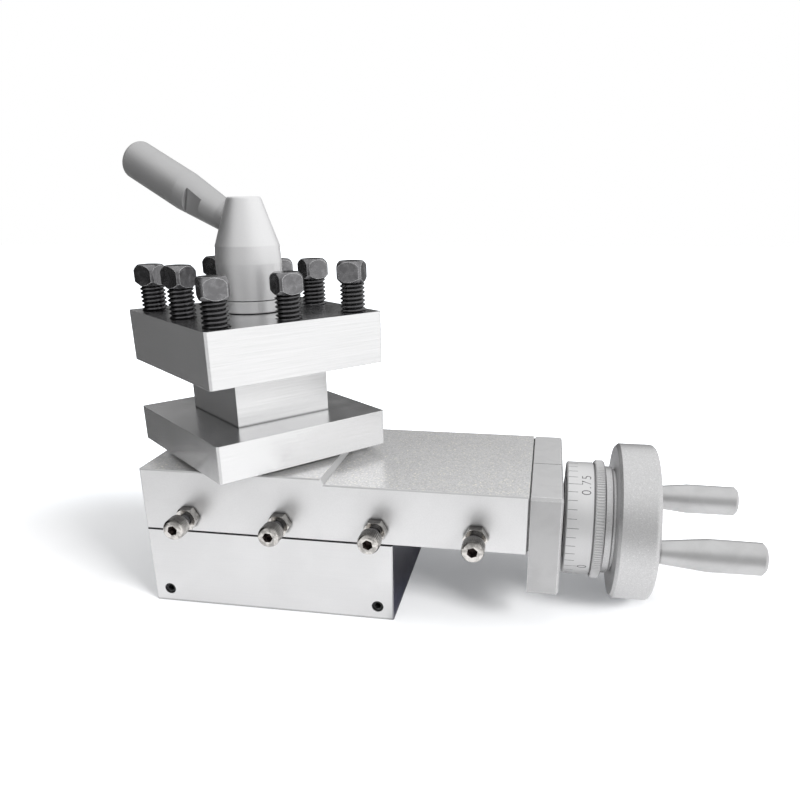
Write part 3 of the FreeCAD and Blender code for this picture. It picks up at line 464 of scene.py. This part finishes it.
# Finishes
class Finish:
    """A metal that is put together from the shader groups. A plain colour, roughness or metallic share stays
    on the shader's own socket."""

    def __init__(self, name, colour, roughness, metallic=1.0, edge=0.0):
        self.material = bpy.data.materials.new(name)
        self.material.use_nodes = True
        self.tree = self.material.node_tree
        self.shader = self.tree.nodes["Principled BSDF"]
        self.metallic = metallic
        self.colour = tuple(colour)
        self.roughness = roughness
        self.normal = self.use("Rounded edges", radius=edge)["Normal"] if edge else None

    def use(self, group, depth=0.0, **inputs):
        """Places a shader group and gives its outputs. depth is how deep its height goes, in metres."""
        node = add(self.tree, "Group", node_tree=bpy.data.node_groups[group])
        for name, value in inputs.items():
            node.inputs[name.replace("_", " ").capitalize()].default_value = value
        if depth:
            self.bump(node.outputs["Height"], depth)
        return node.outputs

    def bump(self, height, depth):
        raised = add(self.tree, "Bump", {"Height": height, "Distance": depth})
        if self.normal:
            self.tree.links.new(self.normal, raised.inputs["Normal"])
        self.normal = raised.outputs[0]

    def above(self, height):
        """A mask that is 1 higher than a height, in metres."""
        parts = add(self.tree, "SeparateXYZ", {"Vector": object_place(self.tree)})
        return maths(self.tree, "GREATER_THAN", parts.outputs["Z"], height)

    def outside(self, mask):
        """A mask that is 1 where the mask isn't."""
        return maths(self.tree, "SUBTRACT", 1.0, mask)

    def both(self, first, second):
        """A mask that is 1 where both masks are."""
        return maths(self.tree, "MULTIPLY", first, second)

    def tone(self, mask, dark, light, low=0.3, high=0.7):
        """Multiplies the colour by dark where the mask is low and by light where it is high."""
        level = ramp(self.tree, mask, low, high, dark, light)
        scaled = add(self.tree, "VectorMath", {0: self.colour, "Scale": level}, operation="SCALE")
        self.colour = scaled.outputs[0]

    def shade(self, mask, share):
        """Multiplies the colour by a share where the mask is 1."""
        self.tone(mask, 1.0, share, 0.0, 1.0)

    def grain(self, size, depth, dark, light):
        """Pits the surface, shades the pits, and gives the grain's outputs."""
        grain = self.use("Blasted grain", grain_size=size, depth=depth)
        self.tone(grain["Tone"], dark, light)
        return grain

    def marks(self, size, clean=1.0, smudged=1.0):
        """Places handling marks, multiplies the colour by their shares, and gives their mask."""
        mask = self.use("Handling marks", size=size)["Mask"]
        if clean != smudged:
            self.tone(mask, clean, smudged)
        return mask

    def crevice_shade(self, reach=1.2 * MM, dark=0.2):
        """Paints shade into the seams and inner corners."""
        self.shade(self.use("Crevice shade", reach=reach)["Mask"], dark)

    def roughen(self, mask, low, high):
        """Adds low to the roughness where the mask is 0 and high where it is 1."""
        self.roughness = maths(self.tree, "ADD", self.roughness, ramp(self.tree, mask, 0.0, 1.0, low, high))

    def scatter(self, mask, share):
        """Lets a share of the light spread evenly where the mask is 1, as from fine cutter marks."""
        scattered = ramp(self.tree, mask, 0.0, 1.0, 0.0, share)
        self.metallic = maths(self.tree, "SUBTRACT", self.metallic, scattered)

    def blend(self, mask, colour):
        """Lays a colour over the finish where the mask is 1."""
        mixed = add(self.tree, "Mix", {0: mask, 7: (*colour, 1)}, data_type="RGBA")
        self.feed(mixed.inputs[6], self.colour)
        self.colour = mixed.outputs[2]

    def handled(self, grain, marks, rough, crevice_shade=(1.2 * MM, 0.2)):
        """The usual end of a finish: its grain, its marks, painted shade in its crevices and the roughness of
        the marks.
        """
        self.grain(*grain)
        mask = self.marks(*marks)
        self.crevice_shade(*crevice_shade)
        self.roughen(mask, *rough)
        return self.done()

    def feed(self, socket, value):
        if isinstance(value, bpy.types.NodeSocket):
            self.tree.links.new(value, socket)
        else:
            socket.default_value = (*value, 1) if isinstance(value, tuple) else value

    def done(self):
        for name, value in (("Base Color", self.colour), ("Metallic", self.metallic),
                            ("Roughness", self.roughness)):
            self.feed(self.shader.inputs[name], value)
        if self.normal:
            self.feed(self.shader.inputs["Normal"], self.normal)
        return self.material


def aluminium(share):
    return [share * c for c in bpy.context.scene.turret_finishes.aluminium]


def ground_aluminium():
    """The base: ground faces, with a painted shadow line along the seam under the slide."""
    finish = Finish("Ground aluminium", aluminium(1.02), 0.30, edge=0.25 * MM)
    lines = finish.use("Cutter streaks", line_width=0.25 * MM, line_length=30 * MM, depth=0.0015 * MM)
    finish.tone(lines["Tone"], 0.985, 1.01)
    finish.grain(size=0.28 * MM, depth=0.005 * MM, dark=0.97, light=1.02)
    marks = finish.marks(22 * MM, clean=1.0, smudged=0.975)
    ledge = low_corner("top_slide").z - SEAM_GAP
    shaded = finish.both(finish.above(ledge - SEAM_SHADOW_BELOW), finish.outside(finish.above(ledge + SEAM_SHADOW_ABOVE)))
    # Painted shadow: a dark line on the side faces along the seam
    finish.shade(finish.both(shaded, finish.use("Level faces")["Side"]), 0.04)
    finish.crevice_shade()
    finish.roughen(marks, 0.0, 0.06)
    return finish.done()


def slide_aluminium():
    """Satin on the sides, ground on the pad under the turret, and a coarse skin with painted glints on the
    top.
    """
    finish = Finish("Slide aluminium", aluminium(1.01), 0.38, edge=0.25 * MM)
    level = finish.use("Level faces")
    margin = 0.15 * MM
    pad = finish.both(level["Up"], finish.above(high_corner("top_slide").z - margin))
    top = finish.both(level["Up"], finish.outside(pad))
    finish.grain(size=0.3 * MM, depth=0.006 * MM, dark=0.965, light=1.02)
    coarse = finish.use("Blasted grain", grain_size=0.42 * MM)
    finish.bump(finish.both(top, coarse["Height"]), 0.04 * MM)
    finish.marks(22 * MM, clean=1.0, smudged=0.97)
    # Painted shade: the leaning faces of the step darker
    finish.shade(level["Leaning"], 0.72)
    finish.tone(finish.both(top, coarse["Speckle"]), 1.0, 0.80, 0.2, 1.0)
    # Painted glints on the top's bright facets
    finish.blend(finish.both(top, coarse["Spark"]), GLINT_COLOUR)
    finish.crevice_shade()
    finish.scatter(level["Side"], 0.2)
    finish.scatter(top, 0.45)
    finish.scatter(pad, 0.08)
    finish.roughen(top, 0.0, -0.16)
    finish.roughen(pad, 0.0, -0.18)
    return finish.done()


def plate_aluminium():
    """The end plate, with painted light: lighter on top, and brighter along its edges, partly rubbed and
    partly a painted highlight.
    """
    finish = Finish("Plate aluminium", aluminium(0.70), 0.42, edge=0.3 * MM)
    # Painted light: the top faces lighter
    finish.shade(finish.use("Level faces")["Up"], 1.38)
    # Brighter edges: partly rubbed, partly a painted highlight
    finish.shade(finish.use("Edge wear", width=0.4 * MM, amount=30.0)["Mask"], 1.55)
    return finish.handled(grain=(0.25 * MM, 0.004 * MM, 0.975, 1.015), marks=(9 * MM, 1.02, 0.965),
                          rough=(0.0, 0.06))


def milled_aluminium():
    """The turret: fly-cut on the sides, ground on the level faces, and painted shade on the faces underneath.
    """
    finish = Finish("Milled aluminium", aluminium(1.02), 0.20, edge=0.3 * MM)
    level = finish.use("Level faces")
    lines = finish.use("Cutter streaks", turn=math.radians(-POST_TURN), line_width=0.35 * MM,
                       line_length=30 * MM, cross_length=24 * MM, depth=0.007 * MM)
    marks = finish.marks(18 * MM)
    finish.tone(lines["Tone"], 0.91, 1.02)
    # Painted shade on the faces that look down
    finish.shade(level["Down"], 0.85)
    finish.crevice_shade()
    finish.scatter(level["Side"], 0.22)
    finish.roughen(marks, 0.0, 0.07)
    return finish.done()


def blasted_aluminium():
    """The handwheel's blasted skin, with painted glints."""
    finish = Finish("Blasted aluminium", aluminium(0.87), 0.45, edge=0.3 * MM)
    grain = finish.grain(size=0.3 * MM, depth=0.014 * MM, dark=0.93, light=1.03)
    finish.tone(grain["Speckle"], 1.04, 0.93, 0.0, 1.0)
    # Painted glints on a few bright facets
    finish.shade(grain["Spark"], 1.15)
    marks = finish.marks(20 * MM)
    finish.crevice_shade(reach=0.6 * MM, dark=0.4)
    finish.roughen(marks, -0.03, 0.05)
    return finish.done()


def grip_aluminium():
    """The handwheel's turned grips."""
    finish = Finish("Grip aluminium", aluminium(0.76), 0.40, edge=0.2 * MM)
    return finish.handled(grain=(0.2 * MM, 0.003 * MM, 0.975, 1.015), marks=(9 * MM, 1.02, 0.96),
                          rough=(-0.02, 0.05))


def turned_aluminium():
    """The dial."""
    finish = Finish("Turned aluminium", aluminium(0.89), 0.48, metallic=0.8, edge=0.15 * MM)
    return finish.handled(grain=(0.22 * MM, 0.004 * MM, 0.96, 1.02), marks=(12 * MM,),
                          crevice_shade=(0.5 * MM, 0.4), rough=(-0.02, 0.06))


def nut_aluminium():
    """The lock nut and its washer."""
    finish = Finish("Nut aluminium", aluminium(1.13), 0.55, edge=0.25 * MM)
    return finish.handled(grain=(0.2 * MM, 0.005 * MM, 0.97, 1.015), marks=(10 * MM,),
                          crevice_shade=(1.0 * MM, 0.15), rough=(-0.02, 0.05))


def lever_aluminium():
    """The lock lever, duller than the nut."""
    finish = Finish("Lever aluminium", aluminium(0.60), 0.46, metallic=0.75, edge=0.25 * MM)
    return finish.handled(grain=(0.22 * MM, 0.008 * MM, 0.95, 1.03), marks=(12 * MM,), rough=(-0.03, 0.05))


def polished_steel():
    finish = Finish("Polished steel", bpy.context.scene.turret_finishes.steel, 0.16, edge=0.15 * MM)
    marks = finish.marks(8 * MM, clean=1.0, smudged=0.94)
    finish.roughen(marks, 0.0, 0.1)
    return finish.done()


def plated_steel():
    """Painted light: brighter where it faces level, and painted shade on the faces that look up."""
    finish = Finish("Plated steel", bpy.context.scene.turret_finishes.steel, 0.14, edge=0.07 * MM)
    # Painted light and shade by how each face looks
    finish.tone(finish.use("Level faces", start=0.25)["Up"], 1.15, 0.22, 0.0, 0.75)
    return finish.handled(grain=(0.4 * MM, 0.006 * MM, 0.9, 1.05), marks=(2 * MM, 1.1, 0.6),
                          crevice_shade=(0.9 * MM, 0.1), rough=(-0.02, 0.08))


def black_steel():
    """Black oxide, rubbed off along the edges."""
    settings = bpy.context.scene.turret_tool_screws
    finish = Finish("Black oxide steel", settings.oxide, 0.22, metallic=0.95, edge=0.16 * MM)
    finish.grain(size=0.24 * MM, depth=0.008 * MM, dark=0.85, light=1.12)
    marks = finish.marks(2.5 * MM, clean=0.86, smudged=1.16)
    finish.blend(finish.use("Edge wear", width=0.24 * MM, amount=26.0)["Mask"], settings.worn)
    finish.crevice_shade(reach=0.8 * MM, dark=0.2)
    finish.roughen(marks, -0.04, 0.08)
    return finish.done()


def oiled_and_shaded_thread():
    """A thread's flanks, darker partly from oil and partly from painted shade, with its crests rubbed."""
    settings = bpy.context.scene.turret_tool_screws
    # The oxide darkened: partly oil, partly painted shade in the thread
    shaded = [0.45 * c for c in settings.oxide]
    finish = Finish("Oiled and shaded thread", shaded, 0.22, metallic=0.95, edge=0.1 * MM)
    finish.blend(finish.use("Edge wear", width=0.14 * MM, amount=4.0)["Mask"], settings.worn)
    finish.crevice_shade(reach=0.6 * MM, dark=0.15)
    return finish.done()


def set_screw_black_and_shade():
    # Near black: the screw's own black, darkened further with painted shade from its hole
    finish = Finish("Set screw black and shade", (0.03, 0.03, 0.032), 0.45, metallic=0.6)
    finish.marks(1 * MM, clean=0.6, smudged=1.6)
    return finish.done()


def bearing_bronze():
    finish = Finish("Bearing bronze", bpy.context.scene.turret_finishes.bronze, 0.3, edge=0.15 * MM)
    marks = finish.marks(6 * MM, clean=1.05, smudged=0.8)
    finish.roughen(marks, 0.0, 0.15)
    return finish.done()


def socket_shade():
    """Painted shade for the inside of a hexagon socket: a dark material."""
    finish = Finish("Socket shade", (0.10, 0.08, 0.075), 0.35, metallic=0.8)
    finish.marks(1.2 * MM, clean=0.5, smudged=1.8)
    return finish.done()


def mark_ink():
    """The ink in the dial's marks and figures."""
    finish = Finish("Mark ink", (0.10, 0.10, 0.105), 0.55, metallic=0.0)
    finish.marks(1.5 * MM, clean=0.7, smudged=2.0)
    return finish.done()


MADE = {}


def material(maker):
    """The material of a maker function, made once."""
    if maker not in MADE:
        MADE[maker] = maker()
    return MADE[maker]


def dress(maker, *nodes):
    """Gives CAD nodes their finish."""
    for node in nodes:
        materials = NODES[node].data.materials
        materials.clear()
        materials.append(material(maker))


# Pieces
class TURRET_OT_shader_groups(bpy.types.Operator):
    """Makes the shader groups that the finishes share"""
    bl_idname = "turret.shader_groups"
    bl_label = "Shader groups"

    def execute(self, context):
        for maker in (blasted_grain, cutter_streaks, edge_wear, rounded_edges, level_faces, crevice_shade_mask,
                      handling_marks):
            maker()
        return {"FINISHED"}


class TURRET_OT_base(bpy.types.Operator):
    """Finishes the base block, the feed nut and their screws"""
    bl_idname = "turret.base"
    bl_label = "Base"

    def execute(self, context):
        dress(ground_aluminium, "base_block")
        dress(bearing_bronze, "feed_nut")
        dress(set_screw_black_and_shade, "base_set_screws")
        dress(black_steel, "feed_nut_screws")
        return {"FINISHED"}


class TURRET_OT_slide(bpy.types.Operator):
    """Finishes the top slide, its gib, the end plate and what they hold"""
    bl_idname = "turret.slide"
    bl_label = "Slide"

    def execute(self, context):
        dress(slide_aluminium, "top_slide")
        dress(plate_aluminium, "end_plate")
        dress(plated_steel, "gib_strip", "gib_lock_nuts")
        dress(bearing_bronze, "screw_bush")
        dress(black_steel, "end_plate_screws")
        dress(polished_steel, "thrust_washer", "post_stud")
        return {"FINISHED"}


class TURRET_OT_gib_screws(bpy.types.Operator):
    """Makes the four gib screws with their threads and hexagon sockets"""
    bl_idname = "turret.gib_screws"
    bl_label = "Gib screws"

    def execute(self, context):
        settings = context.scene.turret_gib_screws
        low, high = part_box("gib_screws")
        radius, length = settings.head_radius, settings.head_length
        spacing = (high.x - low.x - 2 * radius) / (GIB_SCREW_COUNT - 1)
        head = self.head(settings)
        rod = threaded_rod("gib_thread", settings, high.y - low.y - length, overlap=0.4 * MM, slot=2)
        for k in range(GIB_SCREW_COUNT):
            place = Vector((low.x + radius + k * spacing, low.y + length, (low.z + high.z) / 2))
            head_turn = math.radians(GIB_TURN + GIB_TURN_STEP * k)
            matrix = (Matrix.Translation(place) @ Matrix.Rotation(math.pi / 2, 4, "X")
                      @ Matrix.Rotation(head_turn, 4, "Z"))
            piece = new_screw("gib_screw_%d" % (k + 1), [head, rod], matrix, "slide", "plated_steel",
                              plated_steel, socket_shade, oiled_and_shaded_thread)
            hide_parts("gib_screws")
        return {"FINISHED"}

    def head(self, settings):
        """The knurled head, with its socket's inside in the second material slot, which holds painted shade.
        """
        radius, length = settings.head_radius, settings.head_length
        bevel, corner, foot, knurl = 0.7 * MM, 0.12 * MM, 0.3 * MM, 0.14 * MM
        build = bmesh.new()
        rings = lathe(build, [(0, 0), (radius - foot, 0), (radius - corner, foot), (radius, 1.5 * foot),
                              (radius, length - bevel - foot), (radius - corner, length - bevel),
                              (radius - bevel * 0.55, length - bevel * 0.25), (radius - bevel, length),
                              (0, length)], steps=144)
        groove(rings[3:5], radius, knurl)
        socket_depth, margin = 2.6 * MM, 0.05 * MM
        tool = regular_prism("gib_socket", 6, settings.socket, 0.0, length - socket_depth, length + MM)
        head = combine(to_mesh(build, "gib_head"), tool, "DIFFERENCE")
        smooth(head)
        reach = settings.socket / math.sqrt(3) + margin
        # The socket's inside faces take the painted shade
        for face in head.polygons:
            spot = face.center
            if math.hypot(spot.x, spot.y) < reach and MM < spot.z < length - margin:
                face.material_index = 1
        return head


class TURRET_OT_handwheel(bpy.types.Operator):
    """Finishes the feed screw, the handwheel, its grips and its fasteners"""
    bl_idname = "turret.handwheel"
    bl_label = "Handwheel"

    def execute(self, context):
        dress(blasted_aluminium, "handwheel")
        dress(grip_aluminium, "grip_front", "grip_rear")
        dress(polished_steel, "feed_screw", "wheel_key")
        dress(plated_steel, "wheel_nut", "dial_spring")
        return {"FINISHED"}


# The dial's marks: half their width, where they start, how far they stand out and how deep they reach
MARK_HALF, MARK_START = 0.075 * MM, 0.45 * MM
MARK_PROUD, MARK_SUNK = 0.015 * MM, 0.05 * MM


def mark_length(index):
    """The longest at every tenth mark, longer at every fifth."""
    longest, longer, short = 4.4 * MM, 3.9 * MM, 3.1 * MM
    if index % 10 == 0:
        return longest
    return longer if index % 5 == 0 else short


def wrap_on_dial(point, radius, turn):
    """Bends a flat place (along the axis, round, outwards) onto the dial, at an angle above the front."""
    angle = turn + point[1] / radius
    reach = radius + point[2]
    return Vector((point[0], -reach * math.cos(angle), reach * math.sin(angle)))


class TURRET_OT_dial(bpy.types.Operator):
    """Makes the dial with its ribs, marks and figures"""
    bl_idname = "turret.dial"
    bl_label = "Dial"

    def execute(self, context):
        low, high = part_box("dial")
        rim_height, rim_width = 0.9 * MM, 3.15 * MM
        self.centre = Vector((low.x, SCREW_AXIS.y, SCREW_AXIS.z))
        self.length = high.x - low.x
        self.rim = (high.z - low.z) / 2
        self.barrel = self.rim - rim_height
        self.rim_start = self.length - rim_width
        self.ring(context.scene.turret_dial)
        self.marks(context.scene.turret_dial)
        return {"FINISHED"}

    def ring(self, settings):
        clearance = 0.1 * MM
        bore = (high_corner("dial_spring").z - low_corner("dial_spring").z) / 2 + clearance
        barrel, rim, start, end = self.barrel, self.rim, self.rim_start, self.length
        bevel, neck, slope, rib_depth = 0.4 * MM, 0.6 * MM, 0.2 * MM, 0.32 * MM
        profile = [(bore, 0), (barrel - bevel, 0), (barrel, bevel), (barrel, start - neck),
                   (barrel - slope, start - bevel), (barrel - neck, start - bevel), (barrel - neck, start),
                   (rim - bevel, start), (rim, start + bevel), (rim, end - bevel), (rim - bevel, end),
                   (bore, end)]
        build = bmesh.new()
        rings = lathe(build, profile, settings.ribs * 4)
        groove(rings[8:10], rim, rib_depth)
        close_band(build, rings[-1], rings[0])
        build.transform(Matrix.Translation(self.centre) @ Matrix.Rotation(math.pi / 2, 4, "Y"))
        mesh = to_mesh(build, "dial_ring")
        smooth(mesh, angle=30)
        piece = new_piece("dial_ring", mesh, "dial", turned_aluminium)
        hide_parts("dial")

    def marks(self, settings):
        build = bmesh.new()
        for index in range(settings.divisions):
            turn = settings.label_turn - index * math.tau / settings.divisions
            end = MARK_START + mark_length(index)
            corners = [(MARK_START, -MARK_HALF), (end, -MARK_HALF), (end, MARK_HALF), (MARK_START, MARK_HALF)]
            prism(build, *([wrap_on_dial((x, y, rise), self.barrel, turn) for x, y in corners]
                           for rise in (-MARK_SUNK, MARK_PROUD)))
            if index % 10 == 0:
                self.figures(build, "%g" % (index / settings.divisions), settings.label_height, turn)
        build.transform(Matrix.Translation(self.centre))
        mesh = to_mesh(build, "dial_marks")
        new_piece("dial_marks", mesh, "dial", mark_ink)

    def figures(self, build, text, height, turn):
        """Figures read upwards at the front, with their feet towards the rim."""
        type_per_height, narrowing, foot_gap = 1.42, 0.9, 1.55 * MM
        curve = bpy.data.curves.new("figures", "FONT")
        curve.body = text
        curve.size = height * type_per_height
        curve.space_character = 1.22
        curve.offset = -0.06 * MM
        curve.align_x = "CENTER"
        curve.extrude = (MARK_PROUD + MARK_SUNK) / 2
        flat = evaluated_mesh(new_object("figures", curve))
        foot = self.rim_start - foot_gap
        middle_rise = (MARK_PROUD - MARK_SUNK) / 2
        places = [(foot - v.co.y, v.co.x * narrowing, v.co.z + middle_rise) for v in flat.vertices]
        spots = [build.verts.new(wrap_on_dial(place, self.barrel, turn)) for place in places]
        for face in flat.polygons:
            build.faces.new([spots[i] for i in face.vertices])
        bpy.data.meshes.remove(flat)


class TURRET_OT_turret_block(bpy.types.Operator):
    """Finishes the turret block, the washer, the lock nut and its lever"""
    bl_idname = "turret.turret_block"
    bl_label = "Turret block"

    def execute(self, context):
        dress(milled_aluminium, "turret_block")
        dress(nut_aluminium, "post_washer", "lock_nut")
        dress(lever_aluminium, "lock_lever")
        return {"FINISHED"}


class TURRET_OT_tool_screws(bpy.types.Operator):
    """Makes the eight tool screws with their threads and worn square heads"""
    bl_idname = "turret.tool_screws"
    bl_label = "Tool screws"

    def execute(self, context):
        settings = context.scene.turret_tool_screws
        head = self.head(settings)
        rod = threaded_rod("tool_thread", settings, settings.length, overlap=0.3 * MM, slot=1)
        for node, head_turn in zip(TOOL_SCREWS, HEAD_TURNS):
            foot = middle(node)
            foot.z = high_corner(node).z - settings.head_height
            matrix = Matrix.Translation(foot) @ Matrix.Rotation(math.radians(POST_TURN + head_turn), 4, "Z")
            piece = new_screw(node + "_threaded", [head, rod], matrix, node, "black_steel", black_steel,
                              oiled_and_shaded_thread)
            soften(piece, width=0.16 * MM, angle=40)
            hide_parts(node)
        return {"FINISHED"}

    def head(self, settings):
        """The square head: bevels turned first, then four flats milled."""
        half, height, blank = settings.head_flats / 2, settings.head_height, settings.head_blank
        under_bevel, top_bevel, shoulder, crown = 1.5 * MM, 1.9 * MM, 1.0 * MM, 0.12 * MM
        build = bmesh.new()
        lathe(build, [(0, 0), (half - 0.3 * MM, 0), (blank, under_bevel), (blank, height - top_bevel),
                      (half + 0.75 * MM, height - shoulder), (half - 0.2 * MM, height - crown),
                      (half - 1.4 * MM, height), (0, height)], steps=96)
        square = regular_prism("tool_head_square", 4, settings.head_flats, math.pi / 4, -MM, height + MM)
        head = combine(to_mesh(build, "tool_head_blank"), square, "INTERSECT")
        smooth(head)
        return head


# Studio

# A painted shade on the paper beside the base, seen only in the metal: along each axis, where it starts and
# is full
PAINTED_PAPER_SHADE = [("X", 0.040, 0.044), ("X", 0.085, 0.065), ("Y", -0.044, -0.026)]
PAPER_COLOUR = (0.9, 0.9, 0.905, 1)
# The colour of the painted shade on the paper
PAINTED_PAPER_SHADE_COLOUR = (0.05, 0.052, 0.085, 1)
# The paper glows to the camera, faint close to the object and fully away from it. The distance there counts
# three times towards the front and the back.
GLOW_COLOUR = (0.9, 0.95, 1.0, 1)
GLOW_STRETCH, GLOW_SHIFT = (1.0, 3.0, 1.0), (0.0, -0.03, 0.0)
GLOW_START, GLOW_FULL, FAINT_GLOW = 0.11, 0.30, 0.12
# Where the metal stops mirroring the paper: round which place, and the distances where it fades and is gone
MIRRORED_PLACE, MIRRORED_NEAR, MIRRORED_FAR = (0.02, 0.01, 0.0), 0.13, 0.22
# The dark parts of the mirrored room: the direction, the cosines where the dark starts and is full, and how
# bright it stays there. On the left, in front, low at the back, and in the far left corner.
DARK_ROOM = [
    ((-1.0, 0.0, 0.0), 0.48, 0.76, 0.04),
    ((0.08, -0.99, 0.1), 0.66, 0.94, 0.5),
    ((-0.12, 0.985, -0.12), 0.78, 0.94, 0.08),
    ((-0.45, 0.88, 0.15), 0.90, 0.985, 0.35),
]


class TURRET_OT_studio(bpy.types.Operator):
    """Makes the floor, the softboxes, the white surround and the camera"""
    bl_idname = "turret.studio"
    bl_label = "Studio"

    def execute(self, context):
        self.floor()
        self.surround(context.scene.turret_studio)
        self.lamps(context.scene.turret_studio)
        self.camera(context)
        context.scene.view_settings.view_transform = "Standard"
        return {"FINISHED"}

    def floor(self):
        reach = 2.0
        corners = [(-reach, -reach, 0), (reach, -reach, 0), (reach, reach, 0), (-reach, reach, 0)]
        mesh = bpy.data.meshes.new("floor")
        mesh.from_pydata(corners, [], [(0, 1, 2, 3)])
        mesh.materials.append(self.paper())
        floor = new_object("floor", mesh)
        floor.location.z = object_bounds()[0].z
        floor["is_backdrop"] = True

    def paper(self):
        """White paper that keeps the shadow. To the camera it fades into the white surround. In the metal it
        carries a painted shade beside the base, and ends near the object, where the room takes over."""
        paper = bpy.data.materials.new("White paper")
        paper.use_nodes = True
        tree = paper.node_tree
        tree.nodes.clear()
        place = object_place(tree)
        path = add(tree, "LightPath").outputs
        spot = add(tree, "SeparateXYZ", {"Vector": place}).outputs
        shade = path["Is Glossy Ray"]
        for axis, start, full in PAINTED_PAPER_SHADE:
            shade = maths(tree, "MULTIPLY", shade, ramp(tree, spot[axis], start, full))
        colour = add(tree, "Mix", {0: shade, 6: PAPER_COLOUR, 7: PAINTED_PAPER_SHADE_COLOUR}, data_type="RGBA")
        diffuse = add(tree, "BsdfDiffuse", {"Color": colour.outputs[2]})
        squeezed = add(tree, "VectorMath", {0: place, 1: GLOW_STRETCH, 2: GLOW_SHIFT},
                       operation="MULTIPLY_ADD")
        away = add(tree, "VectorMath", {0: squeezed.outputs[0]}, operation="LENGTH")
        fade = ramp(tree, away.outputs["Value"], GLOW_START, GLOW_FULL, FAINT_GLOW, 1.0, "SMOOTHSTEP")
        glow = add(tree, "Emission", {
            "Color": GLOW_COLOUR, "Strength": maths(tree, "MULTIPLY", path["Is Camera Ray"], fade)})
        lit = add(tree, "AddShader", {0: diffuse.outputs[0], 1: glow.outputs[0]})
        distance = add(tree, "VectorMath", {0: place, 1: MIRRORED_PLACE}, operation="DISTANCE")
        far = ramp(tree, distance.outputs["Value"], MIRRORED_NEAR, MIRRORED_FAR)
        unseen = maths(tree, "MULTIPLY", path["Is Glossy Ray"], far)
        room = add(tree, "BsdfTransparent")
        whole = add(tree, "MixShader", {0: unseen, 1: lit.outputs[0], 2: room.outputs[0]})
        add(tree, "OutputMaterial", {"Surface": whole.outputs[0]})
        return paper

    def surround(self, settings):
        """White to the camera. The metal mirrors a white room that is dark on the left and low at the back,
        and greyer from the front, where the camera stands."""
        world = bpy.data.worlds.new("Surround")
        world.use_nodes = True
        bpy.context.scene.world = world
        tree = world.node_tree
        tree.nodes.clear()
        place = add(tree, "TexCoord").outputs["Generated"]
        mirrored = settings.mirrored
        for direction, start, full, low in DARK_ROOM:
            toward = add(tree, "VectorMath", {0: place, 1: direction}, operation="DOT_PRODUCT")
            lobe = ramp(tree, toward.outputs["Value"], start, full, 1.0, low, "SMOOTHSTEP")
            mirrored = maths(tree, "MULTIPLY", mirrored, lobe)
        path = add(tree, "LightPath").outputs
        lit = add(tree, "Mix", {0: path["Is Glossy Ray"], 2: settings.surround, 3: mirrored})
        seen = add(tree, "Mix", {0: path["Is Camera Ray"], 2: lit.outputs[0], 3: 1.0})
        sky = add(tree, "Background", {"Color": (1, 1, 1, 1), "Strength": seen.outputs[0]})
        add(tree, "OutputWorld", {"Surface": sky.outputs[0]})

    def lamps(self, settings):
        overhead_share = 0.35
        self.softbox("Main softbox", place=(1.18, -0.74, 0.84), side=0.5, power=settings.softbox)
        self.softbox("Overhead softbox", place=(0.05, 0.1, 2.4), side=1.5,
                     power=settings.softbox * overhead_share)

    def softbox(self, name, place, side, power):
        """A square lamp that looks at the middle of the slide, and that the metal doesn't mirror."""
        aim = Vector((0.03, 0, 0.05))
        lamp = bpy.data.lights.new(name, "AREA")
        lamp.shape = "SQUARE"
        lamp.size = side
        lamp.energy = power
        holder = new_object(name, lamp)
        holder.location = place
        holder.rotation_mode = "QUATERNION"
        holder.rotation_quaternion = (Vector(place) - aim).to_track_quat("Z", "Y")
        holder.visible_glossy = False

    def camera(self, context):
        """The photograph's view: its place, direction and lens were solved from the object's corners."""
        place = Vector((0.088627, -0.235582, 0.133188))
        forward = Vector((-0.16656, 0.92475, -0.34219)).normalized()
        up = Vector((-0.05245, 0.33824, 0.93960))
        right = forward.cross(up).normalized()
        up = right.cross(forward)
        lens = bpy.data.cameras.new("Camera")
        lens.sensor_width = 36
        lens.lens = 32.226
        lens.shift_x, lens.shift_y = -0.0221, 0.0769
        lens.clip_start, lens.clip_end = 0.01, 20
        camera = new_object("Camera", lens)
        turn = Matrix((right, up, -forward)).transposed()
        camera.matrix_world = Matrix.Translation(place) @ turn.to_4x4()
        context.scene.camera = camera


SETTINGS = [("turret_tool_screws", ToolScrewSettings), ("turret_gib_screws", GibScrewSettings),
            ("turret_dial", DialSettings), ("turret_finishes", FinishSettings),
            ("turret_studio", StudioSettings)]
OPERATORS = [TURRET_OT_shader_groups, TURRET_OT_base, TURRET_OT_slide, TURRET_OT_gib_screws,
             TURRET_OT_handwheel, TURRET_OT_dial, TURRET_OT_turret_block, TURRET_OT_tool_screws,
             TURRET_OT_studio]


class TURRET_PT_panel(bpy.types.Panel):
    """Lists the turret's pieces and settings"""
    bl_label = "Lathe tool turret"
    bl_idname = "TURRET_PT_panel"
    bl_space_type = "VIEW_3D"
    bl_region_type = "UI"
    bl_category = "Turret"

    def draw(self, context):
        for operator in OPERATORS:
            self.layout.operator(operator.bl_idname)
        for name, group in SETTINGS:
            box = self.layout.box()
            for field in group.__annotations__:
                box.prop(getattr(context.scene, name), field)


def register():
    for name, group in SETTINGS:
        bpy.utils.register_class(group)
        setattr(bpy.types.Scene, name, PointerProperty(type=group))
    for operator in OPERATORS:
        bpy.utils.register_class(operator)
    bpy.utils.register_class(TURRET_PT_panel)


def unregister():
    bpy.utils.unregister_class(TURRET_PT_panel)
    for operator in reversed(OPERATORS):
        bpy.utils.unregister_class(operator)
    for name, group in reversed(SETTINGS):
        delattr(bpy.types.Scene, name)
        bpy.utils.unregister_class(group)


def main():
    register()
    for operator in OPERATORS:
        group, name = operator.bl_idname.split(".")
        getattr(getattr(bpy.ops, group), name)()


if __name__ == "__main__":
    main()
